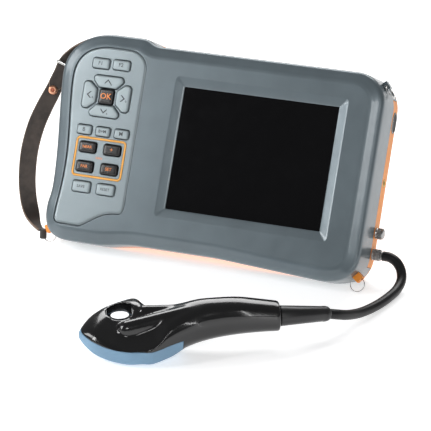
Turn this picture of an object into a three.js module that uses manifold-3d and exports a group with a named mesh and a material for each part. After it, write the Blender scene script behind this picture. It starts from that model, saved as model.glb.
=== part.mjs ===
// Portable veterinary ultrasound scanner, leaning back on its rear stand, with a rectal
// transducer on a cable in front of it. Units are millimetres, +Z up, the scanner faces -Y.
// The origin is on the flat under the rear shell, in the middle of the scanner's bottom edge.
import * as THREE from 'three';
import { mergeVertices } from 'three/addons/utils/BufferGeometryUtils.js';
import Module from 'manifold-3d';

const wasm = await Module();
wasm.setup();

// ---------------------------------------------------------------- driving dimensions
// The scanner has its own frame: x to the right, y up its face and z out of its face, with
// the origin at the middle of the display.
const LEAN = THREE.MathUtils.degToRad(25);        // lean of the face from the vertical
const FRAME_ORIGIN = new THREE.Vector3(31, -2.84, 78.3);
const GAP = 0.3;                                  // clearance between touching pieces

const DISPLAY = { width: 115.2, height: 86.4 };   // 5.7 inch, 4:3
const FACE_Z = 2.5;                               // face of the front shell
const SPLIT_Z = -24;                              // joint between the two shells
const CORNER_Z = -33.4;                           // rear end of the front shell's corners
const BACK_Z = -37.5;                             // back of the rear shell
const WALL = 2.6;
const CAVITY_Z = -3.5;                            // inner side of the front wall
const RIGHT_X = 88.5;
const CENTRE_X = -31;                             // middle of the housing

const KEY = { top: 3.7, bottom: -2.2, play: 0.4, corner: 1.4 };
const PANEL = { top: 1.9, bottom: -1.0 };
const KEY_WINDOW = { x: -112.9, y: 7.5, width: 43, height: 101, corner: 6 };
const ACCENT = { x: -112.8, y: -15.1, width: 38.6, height: 28.6, corner: 3.2, line: 1.5 };

const DOOR = { x: 39, y: -26, width: 66, height: 46, thickness: 2 };
const BATTERY = { width: 62, height: 42, back: -34.4, front: -16 };   // centred behind the door

const BAND = { right: [-62, 55], top: [-112, 60], bottom: [-116, 62], left: [-48, 44] };

const RING = { radius: 5.0, wire: 0.5 };
const LUG_SIZE = [4.8, 5.6, 5];
const LUGS = {
  bottom_right: { x: 85.9, y: -69.9, z: -14, angle: -38, colour: 'orange' },
  bottom_left: { x: -148.6, y: -68.5, z: -14, angle: 214, colour: 'orange' },
  top_right: { x: 84.0, y: 62.6, z: -14, angle: 42, colour: 'grey' },
  top_left: { x: -137.9, y: 67.8, z: -21, angle: 123, colour: 'grey' },
};

const STAND = { hingeY: 42, hingeZ: -40.5, length: 104, width: 66, thickness: 2.4, barrel: 2.5 };
const STAND_PIN_R = 1.1;

const PLUG = { y: -52.3, z: -29.2 };
const AUX = { y: -37.6, z: -29.2 };
const JACK = { y: -2.7, z: -29.2 };
const POWER = { y: 39.5, z: -30, height: 14.4, depth: 8.4 };

const CABLE_R = 3.4;
const PROBE_ORIGIN = new THREE.Vector3(-14.6, -189.7, 4.6);
const PROBE_HEADING = THREE.MathUtils.degToRad(30);
const PROBE_ROLL = THREE.MathUtils.degToRad(14);
const LENS = { top: 13.5, end: 66 };
const FINGER_HOLE = { x: 27, y: 10, radius: 9.2 };
const FINGER_SLOT = { from: [26.2, -0.5, 25.2], to: [30, 36, -2.8], halfWidth: 6.1, halfHeight: 2.4 };
const RIDGES = [
  { from: [30, -7, 18], to: [72, -1, 23.5], radius: 6 },
  { from: [43, 8, 20], to: [74, 3, 22.5], radius: 4.6 },
];
const ARRAY = { low: [15.5, -14, 3.2], high: [61.5, -3, 13.2] };   // behind the sole

const COLOUR = {
  grey: 0x5f6b71, panel: 0x7e8a8f, orange: 0xf0a060, black: 0x101112, screen: 0x0a0a0c,
  rubber: 0x2a2c2e, metal: 0xa8a8a6, steel: 0x8d8f90, brass: 0xc8a850, copper: 0xe1a57d,
  leather: 0x32302c, lens: 0x7da0b9, board: 0x1f5a3a, battery: 0x33383c, key: 0xa9b3b6,
};

// ---------------------------------------------------------------- solids and placing
function solidOf(geometry) {
  const bare = geometry.clone();
  bare.deleteAttribute('normal');
  bare.deleteAttribute('uv');
  const merged = mergeVertices(bare, 1e-4);
  return new wasm.Manifold(new wasm.Mesh({
    numProp: 3,
    vertProperties: new Float32Array(merged.attributes.position.array),
    triVerts: new Uint32Array(merged.index.array),
  }));
}

function geometryOf(solid) {
  const mesh = solid.getMesh();
  const geometry = new THREE.BufferGeometry();
  geometry.setAttribute('position', new THREE.BufferAttribute(mesh.vertProperties, 3));
  geometry.setIndex(new THREE.BufferAttribute(mesh.triVerts, 1));
  geometry.computeVertexNormals();
  return geometry;
}

function moved(geometry, position, rotation = [0, 0, 0]) {
  const turn = new THREE.Quaternion().setFromEuler(new THREE.Euler(...rotation, 'ZXY'));
  const one = new THREE.Vector3(1, 1, 1);
  return geometry.applyMatrix4(new THREE.Matrix4().compose(new THREE.Vector3(...position), turn, one));
}

// A box from its lowest to its highest corner.
function block(low, high) {
  const size = low.map((value, axis) => high[axis] - value);
  const middle = low.map((value, axis) => (value + high[axis]) / 2);
  return moved(new THREE.BoxGeometry(...size), middle);
}

// A cylinder along x, y or z, from one end to the other.
function rod(axis, radius, from, to, centre, sides = 16) {
  const geometry = new THREE.CylinderGeometry(radius, radius, to - from, sides);
  const middle = (from + to) / 2;
  const [a, b] = centre;
  if (axis === 'x') return moved(geometry.rotateZ(-Math.PI / 2), [middle, a, b]);
  if (axis === 'y') return moved(geometry, [a, middle, b]);
  return moved(geometry.rotateX(Math.PI / 2), [a, b, middle]);
}

// A flat shape drawn in x and y, from z = low to z = high.
function slab(shape, low, high, steps = 3) {
  const options = { depth: high - low, bevelEnabled: false, curveSegments: steps };
  return moved(new THREE.ExtrudeGeometry(shape, options), [0, 0, low]);
}

function roundedRect(width, height, radius, x = 0, y = 0) {
  const [w, h, shape] = [width / 2 - radius, height / 2 - radius, new THREE.Shape()];
  shape.absarc(x + w, y + h, radius, 0, Math.PI / 2);
  shape.absarc(x - w, y + h, radius, Math.PI / 2, Math.PI);
  shape.absarc(x - w, y - h, radius, Math.PI, Math.PI * 1.5);
  shape.absarc(x + w, y - h, radius, Math.PI * 1.5, Math.PI * 2);
  return shape;
}

// Joins closed sections of equal point counts into one solid with flat ends.
function loft(sections) {
  const count = sections[0].length;
  const positions = sections.flat().flatMap((point) => [point.x, point.y, point.z]);
  const faces = [];
  for (let ring = 0; ring < sections.length - 1; ring += 1) {
    for (let i = 0; i < count; i += 1) {
      const [a, b] = [ring * count + i, ring * count + ((i + 1) % count)];
      faces.push(a, b, b + count, a, b + count, a + count);
    }
  }
  const last = (sections.length - 1) * count;
  const flat = flattened(sections[0]);
  for (const [a, b, c] of THREE.ShapeUtils.triangulateShape(flat, [])) faces.push(a, c, b);
  const flatEnd = flattened(sections[sections.length - 1]);
  for (const [a, b, c] of THREE.ShapeUtils.triangulateShape(flatEnd, [])) {
    faces.push(last + a, last + b, last + c);
  }
  const geometry = new THREE.BufferGeometry();
  geometry.setAttribute('position', new THREE.Float32BufferAttribute(positions, 3));
  geometry.setIndex(faces);
  return geometry;
}

// A section's points in its own plane, turning anticlockwise.
function flattened(section) {
  const normal = new THREE.Vector3();
  section.forEach((point, i) => {
    const next = section[(i + 1) % section.length];
    normal.add(new THREE.Vector3().crossVectors(point, next));
  });
  normal.normalize();
  const seed = Math.abs(normal.z) < 0.9 ? new THREE.Vector3(0, 0, 1) : new THREE.Vector3(1, 0, 0);
  const across = new THREE.Vector3().crossVectors(seed, normal).normalize();
  const up = new THREE.Vector3().crossVectors(normal, across);
  return section.map((point) => new THREE.Vector2(point.dot(across), point.dot(up)));
}

function material(colour, roughness = 0.5, metalness = 0) {
  return new THREE.MeshStandardMaterial({ color: colour, roughness, metalness });
}

function add(group, name, shape, finish) {
  const geometry = shape.isBufferGeometry ? shape : geometryOf(shape);
  const mesh = new THREE.Mesh(geometry, finish);
  mesh.name = name;
  group.add(mesh);
}

// ---------------------------------------------------------------- housing outline
// The housing seen from the front: a rectangle with a bulged keypad end on the left, and a
// bottom edge that drops towards the right. It turns anticlockwise from the top right.
function housingShape() {
  const shape = new THREE.Shape();
  shape.moveTo(66, 69.2);
  shape.lineTo(-80, 69.2);
  shape.bezierCurveTo(-89, 69.2, -88, 73.6, -97, 73.6);
  shape.lineTo(-116, 73.6);
  shape.bezierCurveTo(-136, 73.6, -152.6, 62, -152.6, 43);
  shape.bezierCurveTo(-152.6, 22, -146.6, -8, -146.6, -38);
  shape.bezierCurveTo(-146.6, -46, -148.6, -48, -148.4, -56);
  shape.bezierCurveTo(-148, -68, -143, -75.7, -128, -75.7);
  shape.lineTo(-109, -75.7);
  shape.bezierCurveTo(-96, -75.7, -88, -72.1, -73, -72.1);
  shape.lineTo(-17, -72.1);
  shape.lineTo(60, -76.5);
  shape.bezierCurveTo(78, -77.4, RIGHT_X, -70, RIGHT_X, -54);
  shape.lineTo(RIGHT_X, 46.7);
  shape.absarc(66, 46.7, RIGHT_X - 66, 0, Math.PI / 2);
  return shape;
}

// A shape's outline moved inwards by inset, as points.
function insetPoints(shape, inset, steps) {
  const raw = shape.getPoints(steps);
  const points = raw.filter((point, i) => point.distanceTo(raw[(i + 1) % raw.length]) > 1e-3);
  return points.map((point, i) => {
    const before = points[(i + points.length - 1) % points.length];
    const after = points[(i + 1) % points.length];
    const along = new THREE.Vector2().subVectors(after, before).normalize();
    return new THREE.Vector2(point.x - along.y * inset, point.y + along.x * inset);
  });
}

// A solid whose outline is inset by a given amount at each height: rows of [z, inset].
function layered(shape, rows, steps = 6) {
  return loft(rows.map(([z, inset]) => insetPoints(shape, inset, steps)
    .map((point) => new THREE.Vector3(point.x, point.y, z))));
}

// The edge of the keypad panel: straight on the right, curved along the other sides, with a
// step in the bottom edge.
function panelShape() {
  const shape = new THREE.Shape();
  shape.moveTo(-88, 50);
  shape.bezierCurveTo(-88, 58, -94, 63.2, -103, 63.6);
  shape.lineTo(-116, 63.8);
  shape.bezierCurveTo(-132, 63.4, -142.4, 56, -142.4, 40);
  shape.bezierCurveTo(-142.4, 22, -137.5, 0, -137.5, -22);
  shape.bezierCurveTo(-137.5, -38, -139.2, -46, -139.9, -59);
  shape.quadraticCurveTo(-139.9, -63.8, -136, -63.9);
  shape.lineTo(-120, -64.1);
  shape.bezierCurveTo(-112, -61, -106, -52.2, -92, -52);
  shape.quadraticCurveTo(-88, -52, -88, -46);
  return shape;
}

// The opening behind the keypad panel, over which its sheet and board lie.
function keyWindow(grow) {
  const { x, y, width, height, corner } = KEY_WINDOW;
  return roundedRect(width + 2 * grow, height + 2 * grow, corner, x, y);
}

// ---------------------------------------------------------------- the scanner's frame
const scanner = new THREE.Group();
scanner.rotation.x = Math.PI / 2 - LEAN;
scanner.position.copy(FRAME_ORIGIN);
scanner.updateMatrix();
const toScanner = scanner.matrix.clone().invert();

// Everything under the surface that the scanner stands on, in the scanner's frame.
function underFloor() {
  return solidOf(block([-300, -300, -80], [300, 300, 0]).applyMatrix4(toScanner));
}

// ---------------------------------------------------------------- keys
// Each key: its name, its middle, its size, the way it points if it is one of the four
// direction keys, and whether it is black.
const KEYS = [
  { name: 'key_top_left', x: -122.4, y: 51.7, w: 12.8, h: 7.0 },
  { name: 'key_top_right', x: -106.7, y: 52.1, w: 12.8, h: 6.9 },
  { name: 'key_up', x: -114.5, y: 39.2, w: 22.4, h: 8.4, points: 'up' },
  { name: 'key_left', x: -127.4, y: 28.8, w: 10.4, h: 18.8, points: 'left' },
  { name: 'key_right', x: -101.6, y: 28.8, w: 10.4, h: 18.8, points: 'right' },
  { name: 'key_down', x: -114.5, y: 18.4, w: 22.4, h: 8.4, points: 'down' },
  { name: 'key_ok', x: -114.5, y: 28.8, w: 10.9, h: 10.6, dark: true },
  { name: 'key_upper_1', x: -127.0, y: 3.9, w: 10.8, h: 6.4 },
  { name: 'key_upper_2', x: -112.8, y: 3.9, w: 10.8, h: 6.4 },
  { name: 'key_upper_3', x: -98.4, y: 3.9, w: 10.8, h: 6.4 },
  { name: 'key_black_1', x: -122.4, y: -8.2, w: 12.8, h: 7.4, dark: true },
  { name: 'key_black_2', x: -103.6, y: -8.2, w: 12.8, h: 7.4, dark: true },
  { name: 'key_black_3', x: -122.4, y: -22.0, w: 12.8, h: 7.4, dark: true },
  { name: 'key_black_4', x: -103.6, y: -22.0, w: 12.8, h: 7.4, dark: true },
  { name: 'key_lower_1', x: -122.4, y: -36.4, w: 13.6, h: 7.6 },
  { name: 'key_lower_2', x: -103.8, y: -36.4, w: 13.6, h: 7.6 },
];

// A direction key is a bar whose two inner corners are cut back for the middle key.
function keyShape(key, grow = 0) {
  const [w, h] = [key.w + 2 * grow, key.h + 2 * grow];
  if (!key.points) return roundedRect(w, h, KEY.corner + grow, key.x, key.y);
  const turns = { up: 0, left: 1, down: 2, right: 3 }[key.points];
  const [long, short] = turns % 2 ? [h, w] : [w, h];
  const [a, b, cut] = [long / 2, short / 2, 4.6];
  const corners = [[a, b - 1.6], [a - 1.6, b], [1.6 - a, b], [-a, b - 1.6], [-a, 0.6],
    [cut - a, -b], [a - cut, -b], [a, 0.6]];
  const turn = turns * Math.PI / 2;
  const points = corners.map(([x, y]) => new THREE.Vector2(
    key.x + x * Math.cos(turn) - y * Math.sin(turn),
    key.y + x * Math.sin(turn) + y * Math.cos(turn),
  ));
  return new THREE.Shape(points);
}

function addKeys() {
  for (const key of KEYS) {
    const finish = key.dark ? material(COLOUR.black, 0.35) : material(COLOUR.key, 0.45);
    add(scanner, key.name, slab(keyShape(key), KEY.bottom, KEY.top), finish);
  }
}

// ---------------------------------------------------------------- shells
// The four corner zones, where the front shell reaches further back and the rear shell's
// side band stops.
function cornerZones(gap, back) {
  const [right, left] = [BAND.right, BAND.left];
  return [
    block([BAND.top[1] - gap, right[1] - gap, back], [120, 100, SPLIT_Z + 1]),
    block([BAND.bottom[1] - gap, -110, back], [120, right[0] + gap, SPLIT_Z + 1]),
    block([-200, left[1] - gap, back], [BAND.top[0] + gap, 100, SPLIT_Z + 1]),
    block([-200, -110, back], [BAND.bottom[0] + gap, left[0] + gap, SPLIT_Z + 1]),
  ].map(solidOf);
}

const BOSSES = [[73, 53], [73, -60], [-139.5, 44], [-136.5, -58]];

function frontShell() {
  const outline = housingShape();
  const outside = [[CORNER_Z, 0.3], [SPLIT_Z, 0.1], [-10, 0], [-4, 0.3], [-0.8, 1.7],
    [1.3, 4.2], [FACE_Z, 8.2]];
  let shell = solidOf(layered(outline, outside));
  const behind = solidOf(block([-300, -300, -60], [300, 300, SPLIT_Z]));
  const [first, ...others] = cornerZones(0, -60);
  const zones = others.reduce((all, zone) => all.add(zone), first);
  shell = shell.subtract(behind.subtract(zones));
  const inside = [[CORNER_Z - 5, WALL + 1.2], [-10, WALL + 0.2], [CAVITY_Z, WALL + 1.6]];
  shell = shell.subtract(solidOf(layered(outline, inside)));
  for (const [x, y] of BOSSES) {
    shell = shell.add(solidOf(rod('z', 3.4, SPLIT_Z, CAVITY_Z + 0.5, [x, y], 12)));
    shell = shell.subtract(solidOf(rod('z', 1.7, SPLIT_Z - 1, -12, [x, y], 10)));
  }
  shell = shell.subtract(displayOpening());
  const recess = layered(panelShape(), [[PANEL.bottom - GAP, -GAP], [FACE_Z + 2, -GAP]], 5);
  shell = shell.subtract(solidOf(recess)).subtract(solidOf(slab(keyWindow(0), -20, FACE_Z)));
  return shell.subtract(underFloor());
}

// The display's window, with its sloped surround, and the seat of the glass behind it.
function displayOpening() {
  const { width, height } = DISPLAY;
  const sloped = [[0, 0.6], [6.5, FACE_Z + 0.02]].map(([grow, z]) => rectangle(width, height, grow, z));
  const straight = block([-width / 2, -height / 2, -10], [width / 2, height / 2, 0.7]);
  const seat = block([-width / 2 - 3.2, -height / 2 - 3.2, -10], [width / 2 + 3.2, height / 2 + 3.2, 0.1]);
  return solidOf(loft(sloped)).add(solidOf(straight)).add(solidOf(seat));
}

function rectangle(width, height, grow, z) {
  const [a, b] = [width / 2 + grow, height / 2 + grow];
  return [[a, b], [-a, b], [-a, -b], [a, -b]].map(([x, y]) => new THREE.Vector3(x, y, z));
}

function rearShell() {
  const outline = housingShape();
  const outside = [[BACK_Z, 3.4], [BACK_Z + 1, 1.4], [BACK_Z + 2.8, 0.4], [SPLIT_Z - GAP, 0.1]];
  let shell = solidOf(layered(outline, outside));
  for (const zone of cornerZones(GAP, CORNER_Z - GAP)) shell = shell.subtract(zone);
  const inside = [[BACK_Z + WALL, WALL + 2.4], [BACK_Z + WALL + 2, WALL + 1.2], [0, WALL + 1.2]];
  shell = shell.subtract(solidOf(layered(outline, inside)));
  for (const [x, y] of BOSSES) {
    shell = shell.add(solidOf(rod('z', 3.4, BACK_Z + 1, SPLIT_Z - GAP, [x, y], 12)));
    shell = shell.subtract(solidOf(rod('z', 1.7, -60, 0, [x, y], 10)));
    shell = shell.subtract(solidOf(rod('z', 2.9, -60, BACK_Z + 2.4, [x, y], 12)));
  }
  const half = DOOR.width / 2 + GAP;
  shell = shell.subtract(solidOf(block(
    [DOOR.x - half, DOOR.y - DOOR.height / 2 - GAP, -60],
    [DOOR.x + half, DOOR.y + DOOR.height / 2 + GAP, -30],
  )));
  for (const side of [-1, 1]) shell = shell.add(standBracket(side));
  shell = shell.subtract(solidOf(rod('x', STAND_PIN_R + GAP, -200, 200, [STAND.hingeY, STAND.hingeZ], 12)));
  for (const hole of sideHoles()) shell = shell.subtract(hole);
  return shell.subtract(underFloor());
}

// A hinge bracket of the stand, outside each end of the stand's barrel.
function standBracket(side) {
  const near = CENTRE_X + side * (STAND.width / 2 + 0.4);
  const far = near + side * 5;
  const [low, high] = [Math.min(near, far), Math.max(near, far)];
  const round = solidOf(rod('x', STAND.barrel, low, high, [STAND.hingeY, STAND.hingeZ], 14));
  const foot = block([low, STAND.hingeY - STAND.barrel, STAND.hingeZ],
    [high, STAND.hingeY + STAND.barrel, BACK_Z + 1]);
  return round.add(solidOf(foot));
}

function sideHoles() {
  const power = roundedRect(POWER.depth + 2 * GAP, POWER.height + 2 * GAP, POWER.depth / 2 + GAP);
  const powerHole = moved(slab(power, -6, 6, 5), [RIGHT_X, POWER.y, POWER.z], [0, Math.PI / 2, 0]);
  return [
    rod('x', 3.6, 70, 100, [PLUG.y, PLUG.z]),
    rod('x', 3.6, 70, 100, [AUX.y, AUX.z]),
    rod('x', 2.9, 70, 100, [JACK.y, JACK.z], 12),
    powerHole,
  ].map(solidOf);
}

function addShells() {
  add(scanner, 'front_shell', frontShell(), material(COLOUR.grey, 0.4));
  add(scanner, 'rear_shell', rearShell(), material(COLOUR.orange, 0.45));
  const door = block(
    [DOOR.x - DOOR.width / 2, DOOR.y - DOOR.height / 2, BACK_Z],
    [DOOR.x + DOOR.width / 2, DOOR.y + DOOR.height / 2, BACK_Z + DOOR.thickness],
  );
  add(scanner, 'battery_door', door, material(COLOUR.orange, 0.45));
  BOSSES.forEach(([x, y], i) => {
    const head = solidOf(rod('z', 2.5, BACK_Z + 0.5, BACK_Z + 2.1, [x, y], 12));
    const shank = solidOf(rod('z', 1.35, BACK_Z + 2, -13, [x, y], 10));
    const slot = solidOf(block([x - 0.4, y - 1.8, BACK_Z], [x + 0.4, y + 1.8, BACK_Z + 1.2]));
    add(scanner, `case_screw_${i + 1}`, head.add(shank).subtract(slot), material(COLOUR.steel, 0.35, 1));
  });
}

// ---------------------------------------------------------------- keypad, display, inside
function accentRing(grow) {
  const { width, height, corner, line, x, y } = ACCENT;
  const ring = roundedRect(width + 2 * grow, height + 2 * grow, corner + grow, x, y);
  const inner = roundedRect(width - 2 * line - 2 * grow, height - 2 * line - 2 * grow,
    corner - line, x, y);
  ring.holes.push(inner);
  return ring;
}

function addKeypad() {
  let panel = solidOf(layered(panelShape(), [[PANEL.bottom, 0], [PANEL.top - 0.5, 0], [PANEL.top, 0.5]], 5));
  for (const key of KEYS) panel = panel.subtract(solidOf(slab(keyShape(key, KEY.play), -10, 10, 2)));
  panel = panel.subtract(solidOf(slab(accentRing(GAP), PANEL.top - 0.9, 10)));
  add(scanner, 'keypad_panel', panel, material(COLOUR.panel, 0.4));
  add(scanner, 'accent_frame', slab(accentRing(0), PANEL.top - 0.6, PANEL.top + 0.4),
    material(COLOUR.orange, 0.4));
  add(scanner, 'keypad_membrane', slab(keyWindow(1), -5.2, -3.8), material(COLOUR.rubber, 0.8));
  add(scanner, 'keypad_board', slab(keyWindow(1), -7.1, -5.5), material(COLOUR.board, 0.6));
}

function addDisplay() {
  const { width, height } = DISPLAY;
  const glass = block([-width / 2 - 2.8, -height / 2 - 2.8, -2.6], [width / 2 + 2.8, height / 2 + 2.8, -0.2]);
  add(scanner, 'screen_glass', glass, material(COLOUR.screen, 0.12));
  const lcd = block([-width / 2 - 2.4, -height / 2 - 2.4, -9], [width / 2 + 2.4, height / 2 + 2.4, -2.9]);
  add(scanner, 'display_module', lcd, material(COLOUR.steel, 0.4, 0.6));
}

function addInside() {
  let board = solidOf(block([-64, -56, -13], [66, 56, -11.4]));
  const chips = [[-40, 20, 16], [10, 25, 22], [35, -20, 18], [-20, -25, 20]];
  for (const [x, y, size] of chips) {
    const [low, high] = [[x - size / 2, y - size / 2, -15], [x + size / 2, y + size / 2, -12.5]];
    board = board.add(solidOf(block(low, high)));
  }
  add(scanner, 'main_board', board, material(COLOUR.board, 0.6));
  const [halfWidth, halfHeight] = [BATTERY.width / 2, BATTERY.height / 2];
  const battery = block(
    [DOOR.x - halfWidth, DOOR.y - halfHeight, BATTERY.back],
    [DOOR.x + halfWidth, DOOR.y + halfHeight, BATTERY.front],
  );
  add(scanner, 'battery_pack', battery, material(COLOUR.battery, 0.6));
}

// ---------------------------------------------------------------- right side
function ridged(radius, from, to, centre, ridges) {
  let body = solidOf(rod('x', radius, from, to, centre, 18));
  for (let i = 0; i < ridges; i += 1) {
    const at = from + 1.2 + i * 1.9;
    const ring = new THREE.TorusGeometry(radius + 0.3, 0.6, 4, 18).rotateY(Math.PI / 2);
    body = body.subtract(solidOf(moved(ring, [at, ...centre])));
  }
  return body;
}

function addSide() {
  const metal = () => material(COLOUR.metal, 0.35, 0.9);
  const wallX = RIGHT_X - 0.7;
  for (const [name, { y, z }] of [['probe_socket', PLUG], ['aux_socket', AUX]]) {
    const barrel = solidOf(rod('x', 3.2, 76, wallX, [y, z]));
    const nut = solidOf(rod('x', 4.6, 76, 79.5, [y, z], 6));
    add(scanner, name, barrel.add(nut), metal());
  }
  const plugStart = RIGHT_X + 0.1;
  const bore = solidOf(rod('x', 2.9, 60, 120, [PLUG.y, PLUG.z]));
  const ring = ridged(4.0, plugStart, plugStart + 5.8, [PLUG.y, PLUG.z], 2);
  add(scanner, 'plug_ring', ring.subtract(bore), metal());
  add(scanner, 'probe_plug', rod('x', 2.5, plugStart, plugStart + 6.6, [PLUG.y, PLUG.z]), metal());
  add(scanner, 'aux_cap', ridged(3.9, plugStart, plugStart + 5.6, [AUX.y, AUX.z], 1), metal());
  const jackTube = solidOf(rod('x', 2.6, 78, RIGHT_X - 0.1, [JACK.y, JACK.z], 12));
  const jackHole = solidOf(rod('x', 1.5, 84, 100, [JACK.y, JACK.z], 10));
  add(scanner, 'dc_jack', jackTube.subtract(jackHole), material(COLOUR.brass, 0.3, 1));
  const oval = roundedRect(POWER.depth, POWER.height, POWER.depth / 2);
  const button = moved(slab(oval, -4.5, 0.2, 5), [RIGHT_X, POWER.y, POWER.z], [0, Math.PI / 2, 0]);
  add(scanner, 'power_button', button, material(COLOUR.rubber, 0.5));
}

// ---------------------------------------------------------------- lugs, rings and strap
// The way from a lug to the middle of its ring: the lower rings hang, leaning forward by an
// angle where the surface is too near, and the upper one lies along the housing. The hand
// strap is sewn round the fourth lug, which has no ring.
function hanging(lean) {
  const angle = THREE.MathUtils.degToRad(lean);
  return new THREE.Vector3(0, -Math.sin(angle), -Math.cos(angle)).transformDirection(toScanner);
}

const RINGS = {
  bottom_right: { axis: [1, 0, 0], towards: hanging(31) },
  bottom_left: { axis: [1, 0, 0], towards: hanging(8) },
  top_right: { axis: [0, 0, 1], towards: new THREE.Vector3(0.67, -0.74, 0) },
};

function ringGeometry(corner, wire, swing = 0, sides = [8, 24]) {
  const { axis, towards } = RINGS[corner];
  const { x, y, z } = LUGS[corner];
  const hinge = new THREE.Vector3(...axis);
  const out = towards.clone().applyAxisAngle(hinge, swing).normalize();
  const normal = new THREE.Vector3().crossVectors(hinge, out);
  const middle = new THREE.Vector3(x, y, z).addScaledVector(out, RING.radius - 0.2);
  const place = new THREE.Matrix4().makeBasis(hinge, out, normal).setPosition(middle);
  return new THREE.TorusGeometry(RING.radius, wire, ...sides).applyMatrix4(place);
}

function addLugsAndRings() {
  const outside = solidOf(layered(housingShape(), [[-40, 0.1 - GAP], [5, 0.1 - GAP]]));
  for (const [corner, { x, y, z, angle, colour }] of Object.entries(LUGS)) {
    const pad = moved(new THREE.BoxGeometry(...LUG_SIZE), [x, y, z], [0, 0, THREE.MathUtils.degToRad(angle)]);
    let lug = solidOf(pad).subtract(outside);
    if (RINGS[corner]) {
      for (const swing of [-0.4, 0.4]) {
        lug = lug.subtract(solidOf(ringGeometry(corner, RING.wire + 0.6, swing, [6, 16])));
      }
      add(scanner, `ring_${corner}`, ringGeometry(corner, RING.wire), material(COLOUR.metal, 0.25, 1));
    }
    add(scanner, `strap_lug_${corner}`, lug, material(COLOUR[colour], 0.45));
  }
}

// A flat band follows rows of x, y, z, the turn of its flat side away from the front, and its
// width. This gives its middle and its three directions at t, from 0 to 1.
function bandFrame(rows, t) {
  const path = new THREE.CatmullRomCurve3(rows.map(([x, y, z]) => new THREE.Vector3(x, y, z)));
  const place = t * (rows.length - 1);
  const k = Math.min(Math.floor(place), rows.length - 2);
  const mix = (column) => THREE.MathUtils.lerp(rows[k][column], rows[k + 1][column], place - k);
  const along = path.getTangent(t);
  const outward = new THREE.Vector3().crossVectors(along, new THREE.Vector3(0, 0, 1)).normalize();
  const front = new THREE.Vector3().crossVectors(outward, along).normalize();
  const face = front.multiplyScalar(Math.cos(mix(3))).addScaledVector(outward, Math.sin(mix(3)));
  const across = new THREE.Vector3().crossVectors(along, face);
  return { point: path.getPoint(t), along, face, across, width: mix(4) };
}

function band(rows, thickness, steps, lift = 0) {
  return loft(Array.from({ length: steps + 1 }, (_, i) => {
    const { point, face, across, width } = bandFrame(rows, i / steps);
    const [a, low, high] = [width / 2, lift - thickness / 2, lift + thickness / 2];
    return [[a, low], [-a, low], [-a, high], [a, high]].map(([u, v]) => point.clone()
      .addScaledVector(across, u).addScaledVector(face, v));
  }));
}

// Places a shape on the band: x across it, y out of its flat side and z along it.
function onBand(geometry, rows, t, lift) {
  const { point, along, face, across } = bandFrame(rows, t);
  const place = new THREE.Matrix4().makeBasis(across.negate(), face, along);
  return geometry.applyMatrix4(place.setPosition(point.addScaledVector(face, lift)));
}

const STRAP_THICKNESS = 1.8;
const STRAP = [
  [-142.6, 68.2, -19.5, -1.4, 8.2],
  [-148.2, 63.4, -17.5, -1.15, 9],
  [-153.5, 57.4, -15.8, -0.75, 9.2],
  [-158.3, 50.6, -15, -0.42, 9.2],
  [-160.2, 42.6, -15, -0.38, 10],
  [-163.8, 30, -15, -0.35, 11.4],
  [-168.6, 17, -15, -0.35, 12.2],
  [-172.6, 3, -15, -0.35, 12.5],
  [-174.6, -15, -15, -0.35, 12.5],
  [-173.2, -34, -15, -0.35, 12.3],
  [-169.6, -49, -15, -0.45, 12],
  [-164.8, -60, -15, -0.8, 11.6],
  [-160.2, -67, -15, -1.3, 10],
  [-155.6, -71, -15, -1.5, 8],
];
const TAIL_ROWS = [3, 6];   // the strap's rows over which its folded end lies
const BUCKLE = { width: 11.7, height: 6.7, bar: 0.65, corner: 1.2 };
const BUCKLE_AT = 0.245;    // where the buckle and the rivet sit along the strap
const SNAP_AT = 0.385;

function addStrap() {
  add(scanner, 'hand_strap', band(STRAP, STRAP_THICKNESS, 38), material(COLOUR.leather, 0.7));
  const lift = STRAP_THICKNESS + 0.35;
  add(scanner, 'strap_tail', band(STRAP.slice(...TAIL_ROWS), STRAP_THICKNESS, 8, lift),
    material(COLOUR.leather, 0.7));
  const { width, height, bar, corner } = BUCKLE;
  const frame = roundedRect(width, height, corner);
  frame.holes.push(roundedRect(width - 2 * bar, height - 2 * bar, corner / 2));
  const buckle = onBand(slab(frame, -0.9, 0.9), STRAP, BUCKLE_AT, lift / 2);
  add(scanner, 'strap_buckle', buckle, material(COLOUR.metal, 0.25, 1));
  const ball = solidOf(new THREE.SphereGeometry(3.3, 16, 8).scale(1, 0.45, 1));
  const dome = geometryOf(ball.subtract(solidOf(block([-5, -5, -5], [5, 0.1, 5]))));
  const onTop = lift + STRAP_THICKNESS / 2 + 0.25;
  add(scanner, 'strap_snap', onBand(dome, STRAP, SNAP_AT, onTop), material(COLOUR.copper, 0.35, 1));
}

// ---------------------------------------------------------------- rear stand
function standOpening() {
  const hinge = new THREE.Vector3(CENTRE_X, STAND.hingeY, STAND.hingeZ).applyMatrix4(scanner.matrix);
  return Math.acos(hinge.z / STAND.length) + LEAN;
}

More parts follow.
